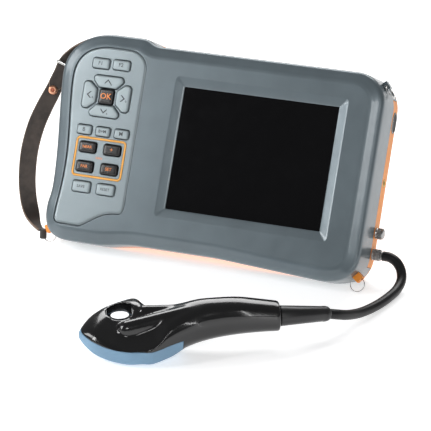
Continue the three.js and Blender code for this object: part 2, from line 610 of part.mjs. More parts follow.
function addStand() {
  const { hingeY, hingeZ, length, width, thickness, barrel } = STAND;
  const stand = new THREE.Group();
  stand.position.set(CENTRE_X, hingeY, hingeZ);
  stand.rotation.x = standOpening();
  scanner.add(stand);
  stand.updateMatrix();
  const plateEnd = length - 6;
  const outline = roundedRect(width, plateEnd - 4, 5, 0, -(plateEnd + 4) / 2);
  let plate = solidOf(slab(outline, -thickness / 2, thickness / 2));
  plate = plate.add(solidOf(block([-width / 2, -12, -thickness / 2], [width / 2, 0, thickness / 2])));
  plate = plate.add(solidOf(rod('x', barrel, -width / 2, width / 2, [0, 0], 14)));
  plate = plate.subtract(solidOf(rod('x', STAND_PIN_R + GAP, -100, 100, [0, 0], 12)));
  add(stand, 'stand', plate, material(COLOUR.grey, 0.4));
  const pad = solidOf(block([-width / 2 + 4, -length - 3, -3.4], [width / 2 - 4, -plateEnd - GAP, 1.6]));
  const world = scanner.matrix.clone().multiply(stand.matrix).invert();
  const floor = solidOf(block([-300, -300, -80], [300, 300, 0]).applyMatrix4(world));
  add(stand, 'stand_foot', pad.subtract(floor), material(COLOUR.rubber, 0.8));
  const half = width / 2 + 5.6;
  add(scanner, 'stand_pin', rod('x', STAND_PIN_R, CENTRE_X - half, CENTRE_X + half, [hingeY, hingeZ], 10),
    material(COLOUR.steel, 0.3, 1));
}

// ---------------------------------------------------------------- transducer
// The transducer's own frame: x from the tip to the cable, y across, z up from its sole.
const probe = new THREE.Group();
probe.position.copy(PROBE_ORIGIN);
probe.rotation.set(PROBE_ROLL, 0, PROBE_HEADING, 'ZXY');
probe.updateMatrix();

// Rows of x, middle in y, half width, bottom and top.
const HULL = [
  [-0.6, 0, 1.6, 8.2, 12.2], [3.2, 0, 7.8, 4.8, 15.6], [9, 0, 15.0, 2.2, 18.4],
  [18, 0, 21.8, 0.8, 20.6], [29, 0, 26.4, 0.1, 22.2], [38.5, 0.4, 27.4, 0, 23.4],
  [44, -4.0, 23.4, 0, 23.6], [50, -5.4, 19.6, 0, 24.2], [58, -3.8, 16.8, 0.2, 26.0],
  [68, -1.6, 14.6, 1.2, 28.4], [78, 0, 13.0, 3.0, 30.4], [90, 0, 11.9, 5.6, 31.4],
  [104, 0, 11.3, 7.3, 31.2], [118, 0, 10.2, 7.7, 29.0], [131, 0, 9.2, 7.4, 26.6],
];
const HANDLE_END = { x: 131, z: 17 };

function hullSection([x, middle, half, bottom, top], sides = 24) {
  const [centre, height] = [(bottom + top) / 2, (top - bottom) / 2];
  return Array.from({ length: sides }, (_, i) => {
    const angle = ((i + 0.5) / sides) * Math.PI * 2;
    const head = THREE.MathUtils.smoothstep(70 - x, 0, 12);
    const squareness = Math.sin(angle) < 0 ? 0.84 - 0.4 * head : 0.84 - 0.12 * head;
    const bend = (value) => Math.sign(value) * Math.abs(value) ** squareness;
    const [y, z] = [middle + half * bend(Math.cos(angle)), centre + height * bend(Math.sin(angle))];
    return new THREE.Vector3(x, y, z);
  });
}

// Lays a shape made along y between two points.
function between(geometry, from, to) {
  const [a, b] = [new THREE.Vector3(...from), new THREE.Vector3(...to)];
  const along = b.clone().sub(a).normalize();
  const turn = new THREE.Quaternion().setFromUnitVectors(new THREE.Vector3(0, 1, 0), along);
  const middle = a.add(b).multiplyScalar(0.5);
  const place = new THREE.Matrix4().compose(middle, turn, new THREE.Vector3(1, 1, 1));
  return solidOf(geometry.applyMatrix4(place));
}

function span({ from, to }) {
  return new THREE.Vector3(...from).distanceTo(new THREE.Vector3(...to));
}

function ridge({ from, to, radius }) {
  return between(new THREE.CapsuleGeometry(radius, span({ from, to }), 4, 12), from, to);
}

// The lower mouth of the finger hole, which leans towards the far side.
function fingerSlot() {
  const { from, to, halfWidth, halfHeight } = FINGER_SLOT;
  const oval = new THREE.CylinderGeometry(1, 1, span(FINGER_SLOT), 20).scale(halfWidth, 1, halfHeight);
  return between(oval, from, to);
}

// The space over the head, whose top slopes down to the near side and rises to the handle.
// Rows of x and the height of the slope at its near and far edges.
const SLOPE = [[-20, 6.5, 33], [36, 6.5, 33], [48, 9.5, 36], [58, 15, 41.5], [72, 27, 53.5]];

function overHead() {
  return solidOf(loft(SLOPE.map(([x, near, far]) => [[-60, near], [60, far], [60, 90], [-60, 90]]
    .map(([y, z]) => new THREE.Vector3(x, y, z)))));
}

function addTransducer() {
  const { x, y, radius } = FINGER_HOLE;
  const hole = solidOf(rod('z', radius, -20, 60, [x, y], 24));
  const body = solidOf(loft(HULL.map((row) => hullSection(row))));
  const soleZone = (gap) => solidOf(block([-10, -60, -20], [LENS.end + gap, 60, LENS.top + gap]));
  let shell = body.subtract(overHead());
  for (const shape of RIDGES) shell = shell.add(ridge(shape));
  shell = shell.subtract(soleZone(GAP)).subtract(hole).subtract(fingerSlot());
  add(probe, 'probe_shell', shell, material(COLOUR.black, 0.2));
  const [endX, endY] = ARRAY.high;
  const pocket = solidOf(block(ARRAY.low.map((value) => value - GAP), [endX + GAP, endY + GAP, 30]));
  const lens = body.intersect(soleZone(0)).subtract(hole).subtract(fingerSlot()).subtract(pocket);
  add(probe, 'probe_lens', lens, material(COLOUR.lens, 0.35));
  add(probe, 'probe_array', block(ARRAY.low, ARRAY.high), material(COLOUR.steel, 0.5, 0.4));
}

// ---------------------------------------------------------------- strain relief and cable
// Both are laid in the part's own frame: the strain relief continues the handle, and the
// cable drops to the surface, runs towards the scanner and turns up into its plug.
const RELIEF = { end: [124.4, -101.4, 16.0], radii: [6.9, 4.9] };
const CABLE_POINTS = [
  [124.75, -100.95, 15.85], [128.9, -95.0, 13.6], [132.1, -85.6, 10.0], [134.9, -73, 6.4],
  [137.9, -60, 4.4], [140.9, -46, 3.6], [143.1, -32, 3.5], [144.1, -19, 4.0],
  [143.8, -8.6, 6.8], [141.4, -2.4, 11.4], [137.2, 0.4, 15.8], [132.0, 1.2, 18.3],
  [126.9, 1.2, 18.6],
];

function addCable() {
  const handle = (x) => new THREE.Vector3(x, 0, HANDLE_END.z).applyMatrix4(probe.matrix);
  const path = new THREE.QuadraticBezierCurve3(
    handle(HANDLE_END.x + GAP), handle(HANDLE_END.x + 15), new THREE.Vector3(...RELIEF.end),
  );
  const steps = 8;
  const frames = path.computeFrenetFrames(steps);
  const sections = Array.from({ length: steps + 1 }, (_, i) => {
    const radius = THREE.MathUtils.lerp(...RELIEF.radii, i / steps);
    return Array.from({ length: 16 }, (__, k) => {
      const angle = (k / 16) * Math.PI * 2;
      return path.getPointAt(i / steps)
        .addScaledVector(frames.normals[i], radius * Math.cos(angle))
        .addScaledVector(frames.binormals[i], radius * Math.sin(angle));
    });
  });
  add(model, 'probe_strain_relief', loft(sections), material(COLOUR.rubber, 0.55));
  const route = new THREE.CatmullRomCurve3(CABLE_POINTS.map((point) => new THREE.Vector3(...point)));
  const section = new THREE.Shape(Array.from({ length: 10 }, (_, k) => {
    const angle = (k / 10) * Math.PI * 2;
    return new THREE.Vector2(CABLE_R * Math.cos(angle), CABLE_R * Math.sin(angle));
  }));
  const cable = new THREE.ExtrudeGeometry(section, { steps: 36, bevelEnabled: false, extrudePath: route });
  add(model, 'cable', cable, material(COLOUR.rubber, 0.5));
}

// ---------------------------------------------------------------- the whole scanner
const model = new THREE.Group();
model.add(scanner, probe);
addShells();
addKeypad();
addKeys();
addDisplay();
addInside();
addSide();
addLugsAndRings();
addStrap();
addStand();
addTransducer();
addCable();

export default model;
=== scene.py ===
"""A portable veterinary ultrasound scanner leaning on its rear stand, with a keypad, a display,
a hand strap and a rectal transducer on a cable in front of it. Shapes are drawn in millimetres
in the scanner's frame (x right, y up the face, z out of the face) or in the transducer's."""
import math

import bpy
import numpy as np
from mathutils import Matrix, Vector


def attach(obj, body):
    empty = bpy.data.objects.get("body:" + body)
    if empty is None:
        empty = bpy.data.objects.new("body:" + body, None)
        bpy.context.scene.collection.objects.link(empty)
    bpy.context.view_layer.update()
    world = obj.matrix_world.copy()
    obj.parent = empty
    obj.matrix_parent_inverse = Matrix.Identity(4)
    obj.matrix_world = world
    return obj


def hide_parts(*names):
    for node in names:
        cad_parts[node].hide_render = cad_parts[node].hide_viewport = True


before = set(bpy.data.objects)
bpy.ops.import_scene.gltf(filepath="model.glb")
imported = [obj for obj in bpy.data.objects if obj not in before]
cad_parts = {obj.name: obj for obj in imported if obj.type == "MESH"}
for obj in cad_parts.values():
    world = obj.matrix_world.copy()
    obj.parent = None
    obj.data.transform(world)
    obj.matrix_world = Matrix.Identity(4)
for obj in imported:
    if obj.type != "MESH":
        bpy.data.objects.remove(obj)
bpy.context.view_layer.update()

# ---------------- frames and sizes
MM = 0.001
LEAN = math.radians(25)
SCANNER = Matrix.Translation((31, -2.84, 78.3)) @ Matrix.Rotation(math.pi / 2 - LEAN, 4, "X")
PROBE = (Matrix.Translation((-14.6, -189.7, 4.6)) @ Matrix.Rotation(math.radians(30), 4, "Z")
         @ Matrix.Rotation(math.radians(14), 4, "X"))
WORLD = Matrix.Identity(4)
TO_METRES = Matrix.Scale(MM, 4)

FACE_Z, SPLIT_Z, CORNER_Z, BACK_Z = 2.5, -24.0, -33.4, -37.5
WALL = 2.6
RIGHT_X = 88.5
DISPLAY = (115.2, 86.4)
PANEL_Z = (-1.0, 1.9)
KEY_Z = (-2.2, 3.7)
GAP = 0.3   # clearance between neighbouring pieces


def local_box(node, where=SCANNER):
    """A CAD node's lowest and highest corner in a frame, in millimetres."""
    to_local = (TO_METRES @ where).inverted()
    points = np.array([to_local @ v.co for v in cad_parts[node].data.vertices])
    return Vector(points.min(0)), Vector(points.max(0))


def centre(node, where=SCANNER):
    low, high = local_box(node, where)
    return (low + high) / 2


# ---------------- mesh helpers
def mesh_object(name, points, faces):
    mesh = bpy.data.meshes.new(name)
    mesh.from_pydata([tuple(p) for p in points], [], faces)
    mesh.update()
    obj = bpy.data.objects.new(name, mesh)
    bpy.context.scene.collection.objects.link(obj)
    return obj


def applied(obj):
    """The object with its modifiers applied."""
    graph = bpy.context.evaluated_depsgraph_get()
    mesh = bpy.data.meshes.new_from_object(obj.evaluated_get(graph))
    obj.modifiers.clear()
    obj.data = mesh
    return obj


def combine(obj, operation, *tools):
    """Joins, cuts or intersects a solid with others, which are used up."""
    for tool in tools:
        modifier = obj.modifiers.new("combine", "BOOLEAN")
        modifier.operation = operation
        modifier.solver = "EXACT"
        modifier.object = tool
        applied(obj)
        bpy.data.objects.remove(tool)
    return obj


def cut(obj, *tools):
    return combine(obj, "DIFFERENCE", *tools)


def join(obj, *tools):
    return combine(obj, "UNION", *tools)


def merged(*objs):
    """Several separate solids as one object."""
    first = objs[0]
    with bpy.context.temp_override(active_object=first, object=first,
                                   selected_editable_objects=list(objs), selected_objects=list(objs)):
        bpy.ops.object.join()
    return first


def loft(sections, closed=False):
    """One solid through closed sections of equal point counts, with flat ends unless it closes."""
    count, rows = len(sections[0]), len(sections)
    faces = []
    for row in range(rows if closed else rows - 1):
        a, b = row * count, ((row + 1) % rows) * count
        for i in range(count):
            j = (i + 1) % count
            faces.append((a + i, a + j, b + j, b + i))
    if not closed:
        faces.append(tuple(reversed(range(count))))
        faces.append(tuple(range((rows - 1) * count, rows * count)))
    return mesh_object("loft", [p for section in sections for p in section], faces)


def inset(points, amount):
    """A closed 2-D outline, anticlockwise, moved inwards."""
    moved = []
    for i, (x, y) in enumerate(points):
        (ax, ay), (bx, by) = points[i - 1], points[(i + 1) % len(points)]
        length = math.hypot(bx - ax, by - ay)
        moved.append((x - (by - ay) / length * amount, y + (bx - ax) / length * amount))
    return moved


def layered(outline, rows):
    """A solid from an outline: rows of (z, inset)."""
    return loft([[(x, y, z) for x, y in inset(outline, amount)] for z, amount in rows])


def slab(outline, low, high, soft=0.0, steps=3):
    """An outline raised from z = low to z = high, its top edge rounded by soft."""
    rows = [(low, 0.0)]
    if soft:
        turns = [math.pi / 2 * i / steps for i in range(steps + 1)]
        rows += [(high - soft + soft * math.sin(t), soft * (1 - math.cos(t))) for t in turns]
    else:
        rows.append((high, 0.0))
    return layered(outline, rows)


def arc(x, y, radius, start, end, steps):
    turns = [math.radians(start + (end - start) * i / steps) for i in range(steps + 1)]
    return [(x + radius * math.cos(t), y + radius * math.sin(t)) for t in turns]


def rounded_rect(width, height, radius, x=0.0, y=0.0, steps=5):
    a, b = width / 2 - radius, height / 2 - radius
    return [p for cx, cy, start in ((a, b, 0), (-a, b, 90), (-a, -b, 180), (a, -b, 270))
            for p in arc(x + cx, y + cy, radius, start, start + 90, steps)]


def rounded_polygon(corners, radius, steps=4):
    """A polygon, anticlockwise and convex, with every corner rounded."""
    outline = []
    for i, corner in enumerate(corners):
        here, before, after = Vector(corner), Vector(corners[i - 1]), Vector(corners[(i + 1) % len(corners)])
        back, on = (before - here).normalized(), (after - here).normalized()
        half = back.angle(on) / 2
        reach = min(radius / math.tan(half), (before - here).length * 0.48, (after - here).length * 0.48)
        start, end = here + back * reach, here + on * reach
        for k in range(steps + 1):
            t = k / steps
            outline.append(tuple(start * (1 - t) ** 2 + here * 2 * t * (1 - t) + end * t ** 2))
    return outline


def bezier(a, b, c, d, steps):
    """Points of a cubic curve, without its first."""
    a, b, c, d = Vector(a), Vector(b), Vector(c), Vector(d)
    curve = []
    for k in range(1, steps + 1):
        t = k / steps
        u = 1 - t
        curve.append(tuple(a * u ** 3 + b * 3 * t * u ** 2 + c * 3 * t ** 2 * u + d * t ** 3))
    return curve


def spline(points, count):
    """Points evenly spread in parameter on a smooth curve through the given ones."""
    rows = [Vector(p) for p in points]
    rows = [rows[0] * 2 - rows[1], *rows, rows[-1] * 2 - rows[-2]]
    spans = len(points) - 1
    curve = []
    for k in range(count + 1):
        place = k / count * spans
        i = min(int(place), spans - 1)
        t = place - i
        p0, p1, p2, p3 = rows[i:i + 4]
        curve.append(0.5 * (2 * p1 + (p2 - p0) * t + (2 * p0 - 5 * p1 + 4 * p2 - p3) * t * t
                            + (3 * p1 - p0 - 3 * p2 + p3) * t ** 3))
    return curve


def block(low, high):
    """A box between two corners."""
    (a, b, c), (d, e, f) = low, high
    return loft([[(a, b, z), (d, b, z), (d, e, z), (a, e, z)] for z in (c, f)])


def turned(profile, axis="z", at=(0, 0), sides=48, teeth=0, depth=0.0):
    """A solid of revolution about x or z through at: rows of (place, radius), or of (place,
    radius, True) where the surface has teeth."""
    sections = []
    for row in profile:
        place, radius = row[0], row[1]
        wave = depth if len(row) > 2 else 0.0
        section = []
        for i in range(sides):
            t = 2 * math.pi * i / sides
            r = radius - wave * (0.5 + 0.5 * math.cos(teeth * t))
            u, v = r * math.cos(t), r * math.sin(t)
            if axis == "z":
                section.append((at[0] + u, at[1] + v, place))
            else:
                section.append((place, at[0] + u, at[1] + v))
        sections.append(section)
    return loft(sections)


def tube(points, radius, sides=12, closed=False):
    """A solid round wire along points. Its radius is a number, or a function of 0 to 1."""
    points = [Vector(p) for p in points]
    last = len(points) - 1
    sections = []
    side = None
    for i, point in enumerate(points):
        before = points[i - 1] if closed or i else point
        after = points[(i + 1) % len(points)] if closed or i < last else point
        along = (after - before).normalized()
        if side is None:
            seed = Vector((0, 0, 1)) if abs(along.z) < 0.9 else Vector((1, 0, 0))
            side = along.cross(seed).normalized()
        side = (side - along * side.dot(along)).normalized()
        up = along.cross(side)
        r = radius(i / last) if callable(radius) else radius
        turns = [2 * math.pi * k / sides for k in range(sides)]
        sections.append([point + side * (r * math.cos(t)) + up * (r * math.sin(t)) for t in turns])
    return loft(sections, closed=closed)


def shaded(obj, angle):
    for polygon in obj.data.polygons:
        polygon.use_smooth = True
    obj.data.set_sharp_from_angle(angle=math.radians(angle))
    weights = obj.modifiers.new("normals", "WEIGHTED_NORMAL")
    weights.keep_sharp = True
    return applied(obj)


def piece(obj, name, body, look, where=SCANNER, replaces=(), angle=32):
    """Places a solid drawn in millimetres, and makes it a piece of the object."""
    obj.data.transform(TO_METRES @ where)
    obj.name = obj.data.name = name
    shaded(obj, angle)
    if look:
        obj.data.materials.clear()
        obj.data.materials.append(LOOK[look])
    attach(obj, body)
    if replaces:
        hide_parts(*replaces)
    return obj


# ---------------- materials
class Look:
    """A node material under construction: colours, roughness and bump mixed from noise."""

    def __init__(self, name, colour, roughness, metallic=0.0, **sockets):
        self.material = bpy.data.materials.new(name)
        self.material.use_nodes = True
        self.tree = self.material.node_tree
        self.shader = self.tree.nodes["Principled BSDF"]
        self.shader.inputs["Base Color"].default_value = (*colour, 1)
        self.shader.inputs["Roughness"].default_value = roughness
        self.shader.inputs["Metallic"].default_value = metallic
        for socket, value in sockets.items():
            self.shader.inputs[socket.replace("_", " ")].default_value = value
        self.place = self.tree.nodes.new("ShaderNodeTexCoord").outputs["Object"]

    def node(self, kind, inputs=None, **settings):
        node = self.tree.nodes.new(kind)
        for key, value in settings.items():
            setattr(node, key, value)
        for key, value in (inputs or {}).items():
            if isinstance(value, bpy.types.NodeSocket):
                self.tree.links.new(value, node.inputs[key])
            else:
                node.inputs[key].default_value = value
        return node

    def noise(self, size_mm, detail, roughness=0.5):
        """Noise from 0 to 1 with features of about size_mm."""
        return self.node("ShaderNodeTexNoise", {
            "Vector": self.place, "Scale": 1 / (size_mm * MM), "Detail": detail, "Roughness": roughness,
        }).outputs["Fac"]

    def ramp(self, value, low, high, out_low=0.0, out_high=1.0):
        return self.node("ShaderNodeMapRange", {
            "Value": value, "From Min": low, "From Max": high, "To Min": out_low, "To Max": out_high,
        }).outputs["Result"]

    def tint(self, value, first, second):
        """Base colour from first to second as value goes from 0 to 1."""
        ramp = self.node("ShaderNodeValToRGB", {"Fac": value})
        ramp.color_ramp.elements[0].color = (*first, 1)
        ramp.color_ramp.elements[1].color = (*second, 1)
        self.tree.links.new(ramp.outputs["Color"], self.shader.inputs["Base Color"])
        return self

    def rough(self, value, low, high):
        self.tree.links.new(self.ramp(value, 0.3, 0.7, low, high), self.shader.inputs["Roughness"])
        return self

    def bump(self, value, height_mm, strength=1.0):
        """Surface relief of about height_mm, on top of any relief before it."""
        inputs = {"Height": value, "Distance": height_mm * MM, "Strength": strength}
        old = self.shader.inputs["Normal"].links
        if old:
            inputs["Normal"] = old[0].from_socket
        bump = self.node("ShaderNodeBump", inputs)
        self.tree.links.new(bump.outputs["Normal"], self.shader.inputs["Normal"])
        return self


def shade(colour, factor):
    return tuple(channel * factor for channel in colour)


def painted(name, colour, roughness, grain_mm=0.35, grain_height=0.012, metallic=0.0, vary=0.06,
            **sockets):
    """Moulded or painted plastic: fine grain, slight colour drift and handling marks."""
    look = Look(name, colour, roughness, metallic, **sockets)
    drift = look.noise(28, 4)
    look.tint(look.ramp(drift, 0.35, 0.65), shade(colour, 1 - vary), shade(colour, 1 + vary))
    look.rough(look.noise(9, 5, roughness=0.65), roughness - 0.045, roughness + 0.045)
    look.bump(look.noise(grain_mm, 2), grain_height, 0.6)
    return look.material


def machined(name, colour, roughness):
    """Turned or drawn metal with fine lines and faint tarnish."""
    look = Look(name, colour, roughness, 1.0)
    look.tint(look.ramp(look.noise(3.5, 5), 0.35, 0.7), shade(colour, 0.8), shade(colour, 1.08))
    look.rough(look.noise(0.5, 4), roughness - 0.07, roughness + 0.1)
    look.bump(look.noise(0.22, 2), 0.006, 0.5)
    return look.material


def leather():
    """Dark brown bridle leather: pores, creases, and a drier look where it is handled."""
    dark, light = (0.024, 0.0165, 0.0125), (0.06, 0.043, 0.034)
    look = Look("leather_look", dark, 0.5, Sheen_Weight=0.15)
    wear = look.noise(11, 5, roughness=0.6)
    look.tint(look.ramp(wear, 0.42, 0.72), dark, light)
    look.rough(look.noise(2.4, 4), 0.42, 0.6)
    pores = look.node("ShaderNodeTexVoronoi", {"Vector": look.place, "Scale": 1 / (0.9 * MM)},
                      feature="DISTANCE_TO_EDGE").outputs["Distance"]
    look.bump(look.ramp(pores, 0.0, 0.22), 0.05, 0.55)
    look.bump(look.noise(3.0, 4), 0.12, 0.4)
    return look.material


def board():
    look = Look("board_look", (0.02, 0.1, 0.05), 0.4)
    traces = look.node("ShaderNodeTexBrick", {
        "Vector": look.place, "Scale": 60.0, "Mortar Size": 0.06, "Color1": (0.02, 0.11, 0.05, 1),
        "Color2": (0.016, 0.085, 0.04, 1), "Mortar": (0.05, 0.2, 0.09, 1)})
    look.tree.links.new(traces.outputs["Color"], look.shader.inputs["Base Color"])
    look.bump(traces.outputs["Fac"], 0.05, 0.5)
    return look.material


LOOK = {
    "grey": painted("grey_look", (0.118, 0.15, 0.168), 0.36, metallic=0.35, Coat_Weight=0.45,
                    Coat_Roughness=0.12),
    "panel": painted("panel_look", (0.2, 0.24, 0.258), 0.36, metallic=0.4, vary=0.04, Coat_Weight=0.4,
                     Coat_Roughness=0.16),
    "orange": painted("orange_look", (0.88, 0.3, 0.045), 0.42, grain_height=0.02, Specular_IOR_Level=0.3),
    "key": painted("key_look", (0.3, 0.355, 0.375), 0.4, grain_mm=0.25, metallic=0.2, vary=0.04),
    "black_key": painted("black_key_look", (0.012, 0.011, 0.011), 0.25, vary=0.15),
    "mark": painted("mark_look", (0.03, 0.036, 0.04), 0.5, grain_height=0.004),
    "orange_mark": painted("orange_mark_look", (0.8, 0.24, 0.05), 0.5, grain_height=0.004),
    "glass": painted("glass_look", (0.0035, 0.0035, 0.004), 0.12, grain_mm=2.0, grain_height=0.002,
                     Specular_IOR_Level=0.15),
    "gloss": painted("gloss_look", (0.0035, 0.0035, 0.004), 0.16, grain_mm=1.2, grain_height=0.006,
                     vary=0.2, Coat_Weight=0.35, Coat_Roughness=0.05),
    "lens": painted("lens_look", (0.17, 0.3, 0.43), 0.5, grain_mm=0.5),
    "rubber": painted("rubber_look", (0.006, 0.006, 0.007), 0.4, grain_mm=0.4, vary=0.2,
                      Specular_IOR_Level=0.35),
    "nickel": machined("nickel_look", (0.42, 0.42, 0.415), 0.3),
    "steel": machined("steel_look", (0.35, 0.36, 0.37), 0.32),
    "wire": machined("wire_look", (0.55, 0.55, 0.54), 0.18),
    "brass": machined("brass_look", (0.62, 0.42, 0.12), 0.25),
    "copper": machined("copper_look", (0.75, 0.38, 0.24), 0.35),
    "copper_core": machined("copper_core_look", (0.5, 0.16, 0.1), 0.45),
    "leather_edge": painted("leather_edge_look", (0.16, 0.115, 0.085), 0.75, grain_mm=0.5, grain_height=0.05,
                            vary=0.25),
    "accent": painted("accent_look", (0.85, 0.4, 0.07), 0.4, grain_height=0.006),
    "sleeve": painted("sleeve_look", (0.011, 0.011, 0.012), 0.34, grain_mm=0.5, vary=0.2),
    "leather": leather(),
    "board": board(),
    "battery": painted("battery_look", (0.05, 0.055, 0.06), 0.45),
}


# ---------------- camera, light and floor
def add_camera():
    camera = bpy.data.objects.new("camera", bpy.data.cameras.new("camera"))
    right, up, back = (0.9234, 0.3839, -0.0028), (-0.1373, 0.3368, 0.9315), (0.3586, -0.8597, 0.3637)
    turn = Matrix((right, up, back)).transposed()
    camera.matrix_world = Matrix.Translation((0.72942, -1.74255, 0.76792)) @ turn.to_4x4()
    camera.data.sensor_width = 36
    camera.data.lens = 241.2
    camera.data.clip_start = 0.1
    bpy.context.scene.collection.objects.link(camera)
    bpy.context.scene.camera = camera


def add_light(name, place, aim, size, power, size_y=None):
    light = bpy.data.lights.new(name, "AREA")
    light.shape = "RECTANGLE"
    light.size, light.size_y = size, size_y or size
    light.energy = power
    obj = bpy.data.objects.new(name, light)
    obj.location = place
    obj.rotation_euler = (Vector(aim) - Vector(place)).to_track_quat("-Z", "Y").to_euler()
    bpy.context.scene.collection.objects.link(obj)


def add_stage():
    look = Look("floor_look", (0.93, 0.93, 0.935), 0.3, Specular_IOR_Level=0.4)
    look.rough(look.noise(60, 3), 0.26, 0.34)
    look.shader.inputs["Emission Color"].default_value = (1, 1, 1, 1)
    look.shader.inputs["Emission Strength"].default_value = 0.55
    floor = mesh_object("floor", [(-6, -6, -0.0004), (6, -6, -0.0004), (6, 6, -0.0004), (-6, 6, -0.0004)],
                        [(0, 1, 2, 3)])
    floor.data.materials.append(look.material)
    world = bpy.data.worlds.new("world")
    world.use_nodes = True
    world.node_tree.nodes["Background"].inputs["Color"].default_value = (1, 1, 1, 1)
    world.node_tree.nodes["Background"].inputs["Strength"].default_value = 0.2
    bpy.context.scene.world = world
    bpy.context.scene.view_settings.view_transform = "Standard"
    add_light("top_light", (-0.3, 1.2, 1.3), (0, 0, 0.05), 1.7, 26, 0.9)
    add_light("left_light", (-1.5, -0.7, 0.9), (-0.05, 0, 0.08), 0.6, 8)
    add_light("front_light", (0.7, -1.9, 1.3), (0, 0, 0.08), 0.5, 7)
    add_light("keypad_light", (-0.52, -0.59, 0.42), (-0.1, 0, 0.08), 0.12, 2.6, 0.5)
    add_light("edge_light", (0.78, -0.68, 0.42), (0.1, 0, 0.08), 0.02, 0.9, 0.7)


add_camera()
add_stage()

# ---------------- cable
CABLE_POINTS = [
    (124.75, -100.95, 15.85), (128.9, -95.0, 13.6), (132.1, -85.6, 10.0), (134.9, -73, 6.4),
    (137.9, -60, 4.4), (140.9, -46, 3.6), (143.1, -32, 3.5), (144.1, -19, 4.0),
    (143.8, -8.6, 6.8), (141.4, -2.4, 11.4), (137.2, 0.4, 15.8), (132.0, 1.2, 18.3),
    (126.9, 1.2, 18.6),
]
CABLE_R = 3.4


def add_cable():
    route = spline(CABLE_POINTS, 150)
    cable = piece(tube(route, CABLE_R, 24), "probe_cable", "scanner", "rubber", WORLD,
                  ["cable"])
    route = [p * MM for p in route]
    length = sum((b - a).length for a, b in zip(route, route[1:]))
    return cable, route, length


# ---------------- housing
def housing_outline(fine=14):
    """The housing from the front, anticlockwise from the top right."""
    outline = [(66, 69.2), (-80, 69.2)]
    outline += bezier((-80, 69.2), (-89, 69.2), (-88, 73.6), (-97, 73.6), fine)
    outline += [(-116, 73.6)]
    outline += bezier((-116, 73.6), (-136, 73.6), (-152.6, 62), (-152.6, 43), fine * 2)
    outline += bezier((-152.6, 43), (-152.6, 22), (-146.6, -8), (-146.6, -38), fine)
    outline += bezier((-146.6, -38), (-146.6, -46), (-148.6, -48), (-148.4, -56), fine // 2)
    outline += bezier((-148.4, -56), (-148, -68), (-143, -75.7), (-128, -75.7), fine)
    outline += [(-109, -75.7)]
    outline += bezier((-109, -75.7), (-96, -75.7), (-88, -72.1), (-73, -72.1), fine)
    outline += [(-17, -72.1), (60, -76.5)]
    outline += bezier((60, -76.5), (78, -77.4), (RIGHT_X, -70), (RIGHT_X, -54), fine)
    outline += arc(66, 46.7, RIGHT_X - 66, 0, 90, fine + 4)[:-1]
    return outline


def corner_zones(gap, back):
    """Where the front shell reaches further back round the corners."""
    return [
        block((60 - gap, 55 - gap, back), (120, 100, SPLIT_Z + 1)),
        block((62 - gap, -110, back), (120, -62 + gap, SPLIT_Z + 1)),
        block((-200, 44 - gap, back), (-112 + gap, 100, SPLIT_Z + 1)),
        block((-200, -110, back), (-116 + gap, -48 + gap, SPLIT_Z + 1)),
    ]


def under_floor(where=SCANNER):
    """The space under the surface, in the scanner's frame or the stand's."""
    solid = block((-300, -300, -80), (300, 300, 0))
    solid.data.transform(where.inverted())
    return solid


def panel_outline(fine=10):
    """The keypad panel's edge, anticlockwise from the right."""
    outline = [(-88, 50)]
    outline += bezier((-88, 50), (-88, 58), (-94, 63.2), (-103, 63.6), fine)
    outline += [(-116, 63.8)]
    outline += bezier((-116, 63.8), (-132, 63.4), (-142.4, 56), (-142.4, 40), fine + 4)
    outline += bezier((-142.4, 40), (-142.4, 22), (-137.5, 0), (-137.5, -22), fine)
    outline += bezier((-137.5, -22), (-137.5, -38), (-139.2, -46), (-139.9, -59), fine)
    outline += bezier((-139.9, -59), (-139.9, -62.2), (-138.8, -63.9), (-136, -63.9), 5)
    outline += [(-120, -64.1)]
    outline += bezier((-120, -64.1), (-112, -61), (-106, -52.2), (-92, -52), fine + 2)
    outline += bezier((-92, -52), (-89.4, -52), (-88, -50.4), (-88, -46), 5)
    return outline


# The rounding from the side to the face: rows of (z, inset).
EDGE = [(-10, 0), (-4, 0.08), (-1.7, 0.45), (-0.6, 1.1), (0.15, 2.1), (0.7, 3.4), (1.4, 5.6), (2.1, 7.8),
        (FACE_Z, 10.2)]


def display_cutter():
    """The display's window with its sloped, soft-edged surround."""
    rows = [(-10, 0.0), (0.55, 0.0), (0.75, 0.25), (1.05, 1.2), (1.6, 3.3), (2.1, 5.2), (2.4, 6.3),
            (2.6, 7.6), (4, 8.4)]
    width, height = DISPLAY
    sections = [[(x, y, z) for x, y in rounded_rect(width + 2 * g, height + 2 * g, 0.5 + g * 0.35)]
                for z, g in rows]
    return loft(sections)


def add_front_shell():
    outline = housing_outline()
    rows = [(CORNER_Z, 0.5), (CORNER_Z + 0.5, 0.1), (-10, 0), *[(p.x, p.y) for p in spline(EDGE, 24)[1:]]]
    shell = layered(outline, rows)
    behind = block((-300, -300, -60), (300, 300, SPLIT_Z))
    shell = cut(shell, cut(behind, *corner_zones(0, -61)))
    shell = cut(shell, layered(outline, [(CORNER_Z - 5, WALL + 1.2), (-10, WALL + 0.2), (-3.5, WALL + 3)]))
    shell = cut(shell, display_cutter())
    lip = [(PANEL_Z[0] - 0.3, -0.3), (1.9, -0.3), (2.2, -0.42), (2.42, -0.75), (2.6, -1.3), (4, -2)]
    shell = cut(shell, layered(panel_outline(), lip))
    window = layered(rounded_rect(43, 101, 6, -112.9, 7.5), [(-20, 0), (0, 0)])
    shell = cut(shell, window, under_floor())
    return piece(shell, "front_housing", "scanner", "grey", replaces=["front_shell"])


# The turn of each arrow key, in degrees.
TURNS = {"up": 0, "left": 90, "down": 180, "right": 270}


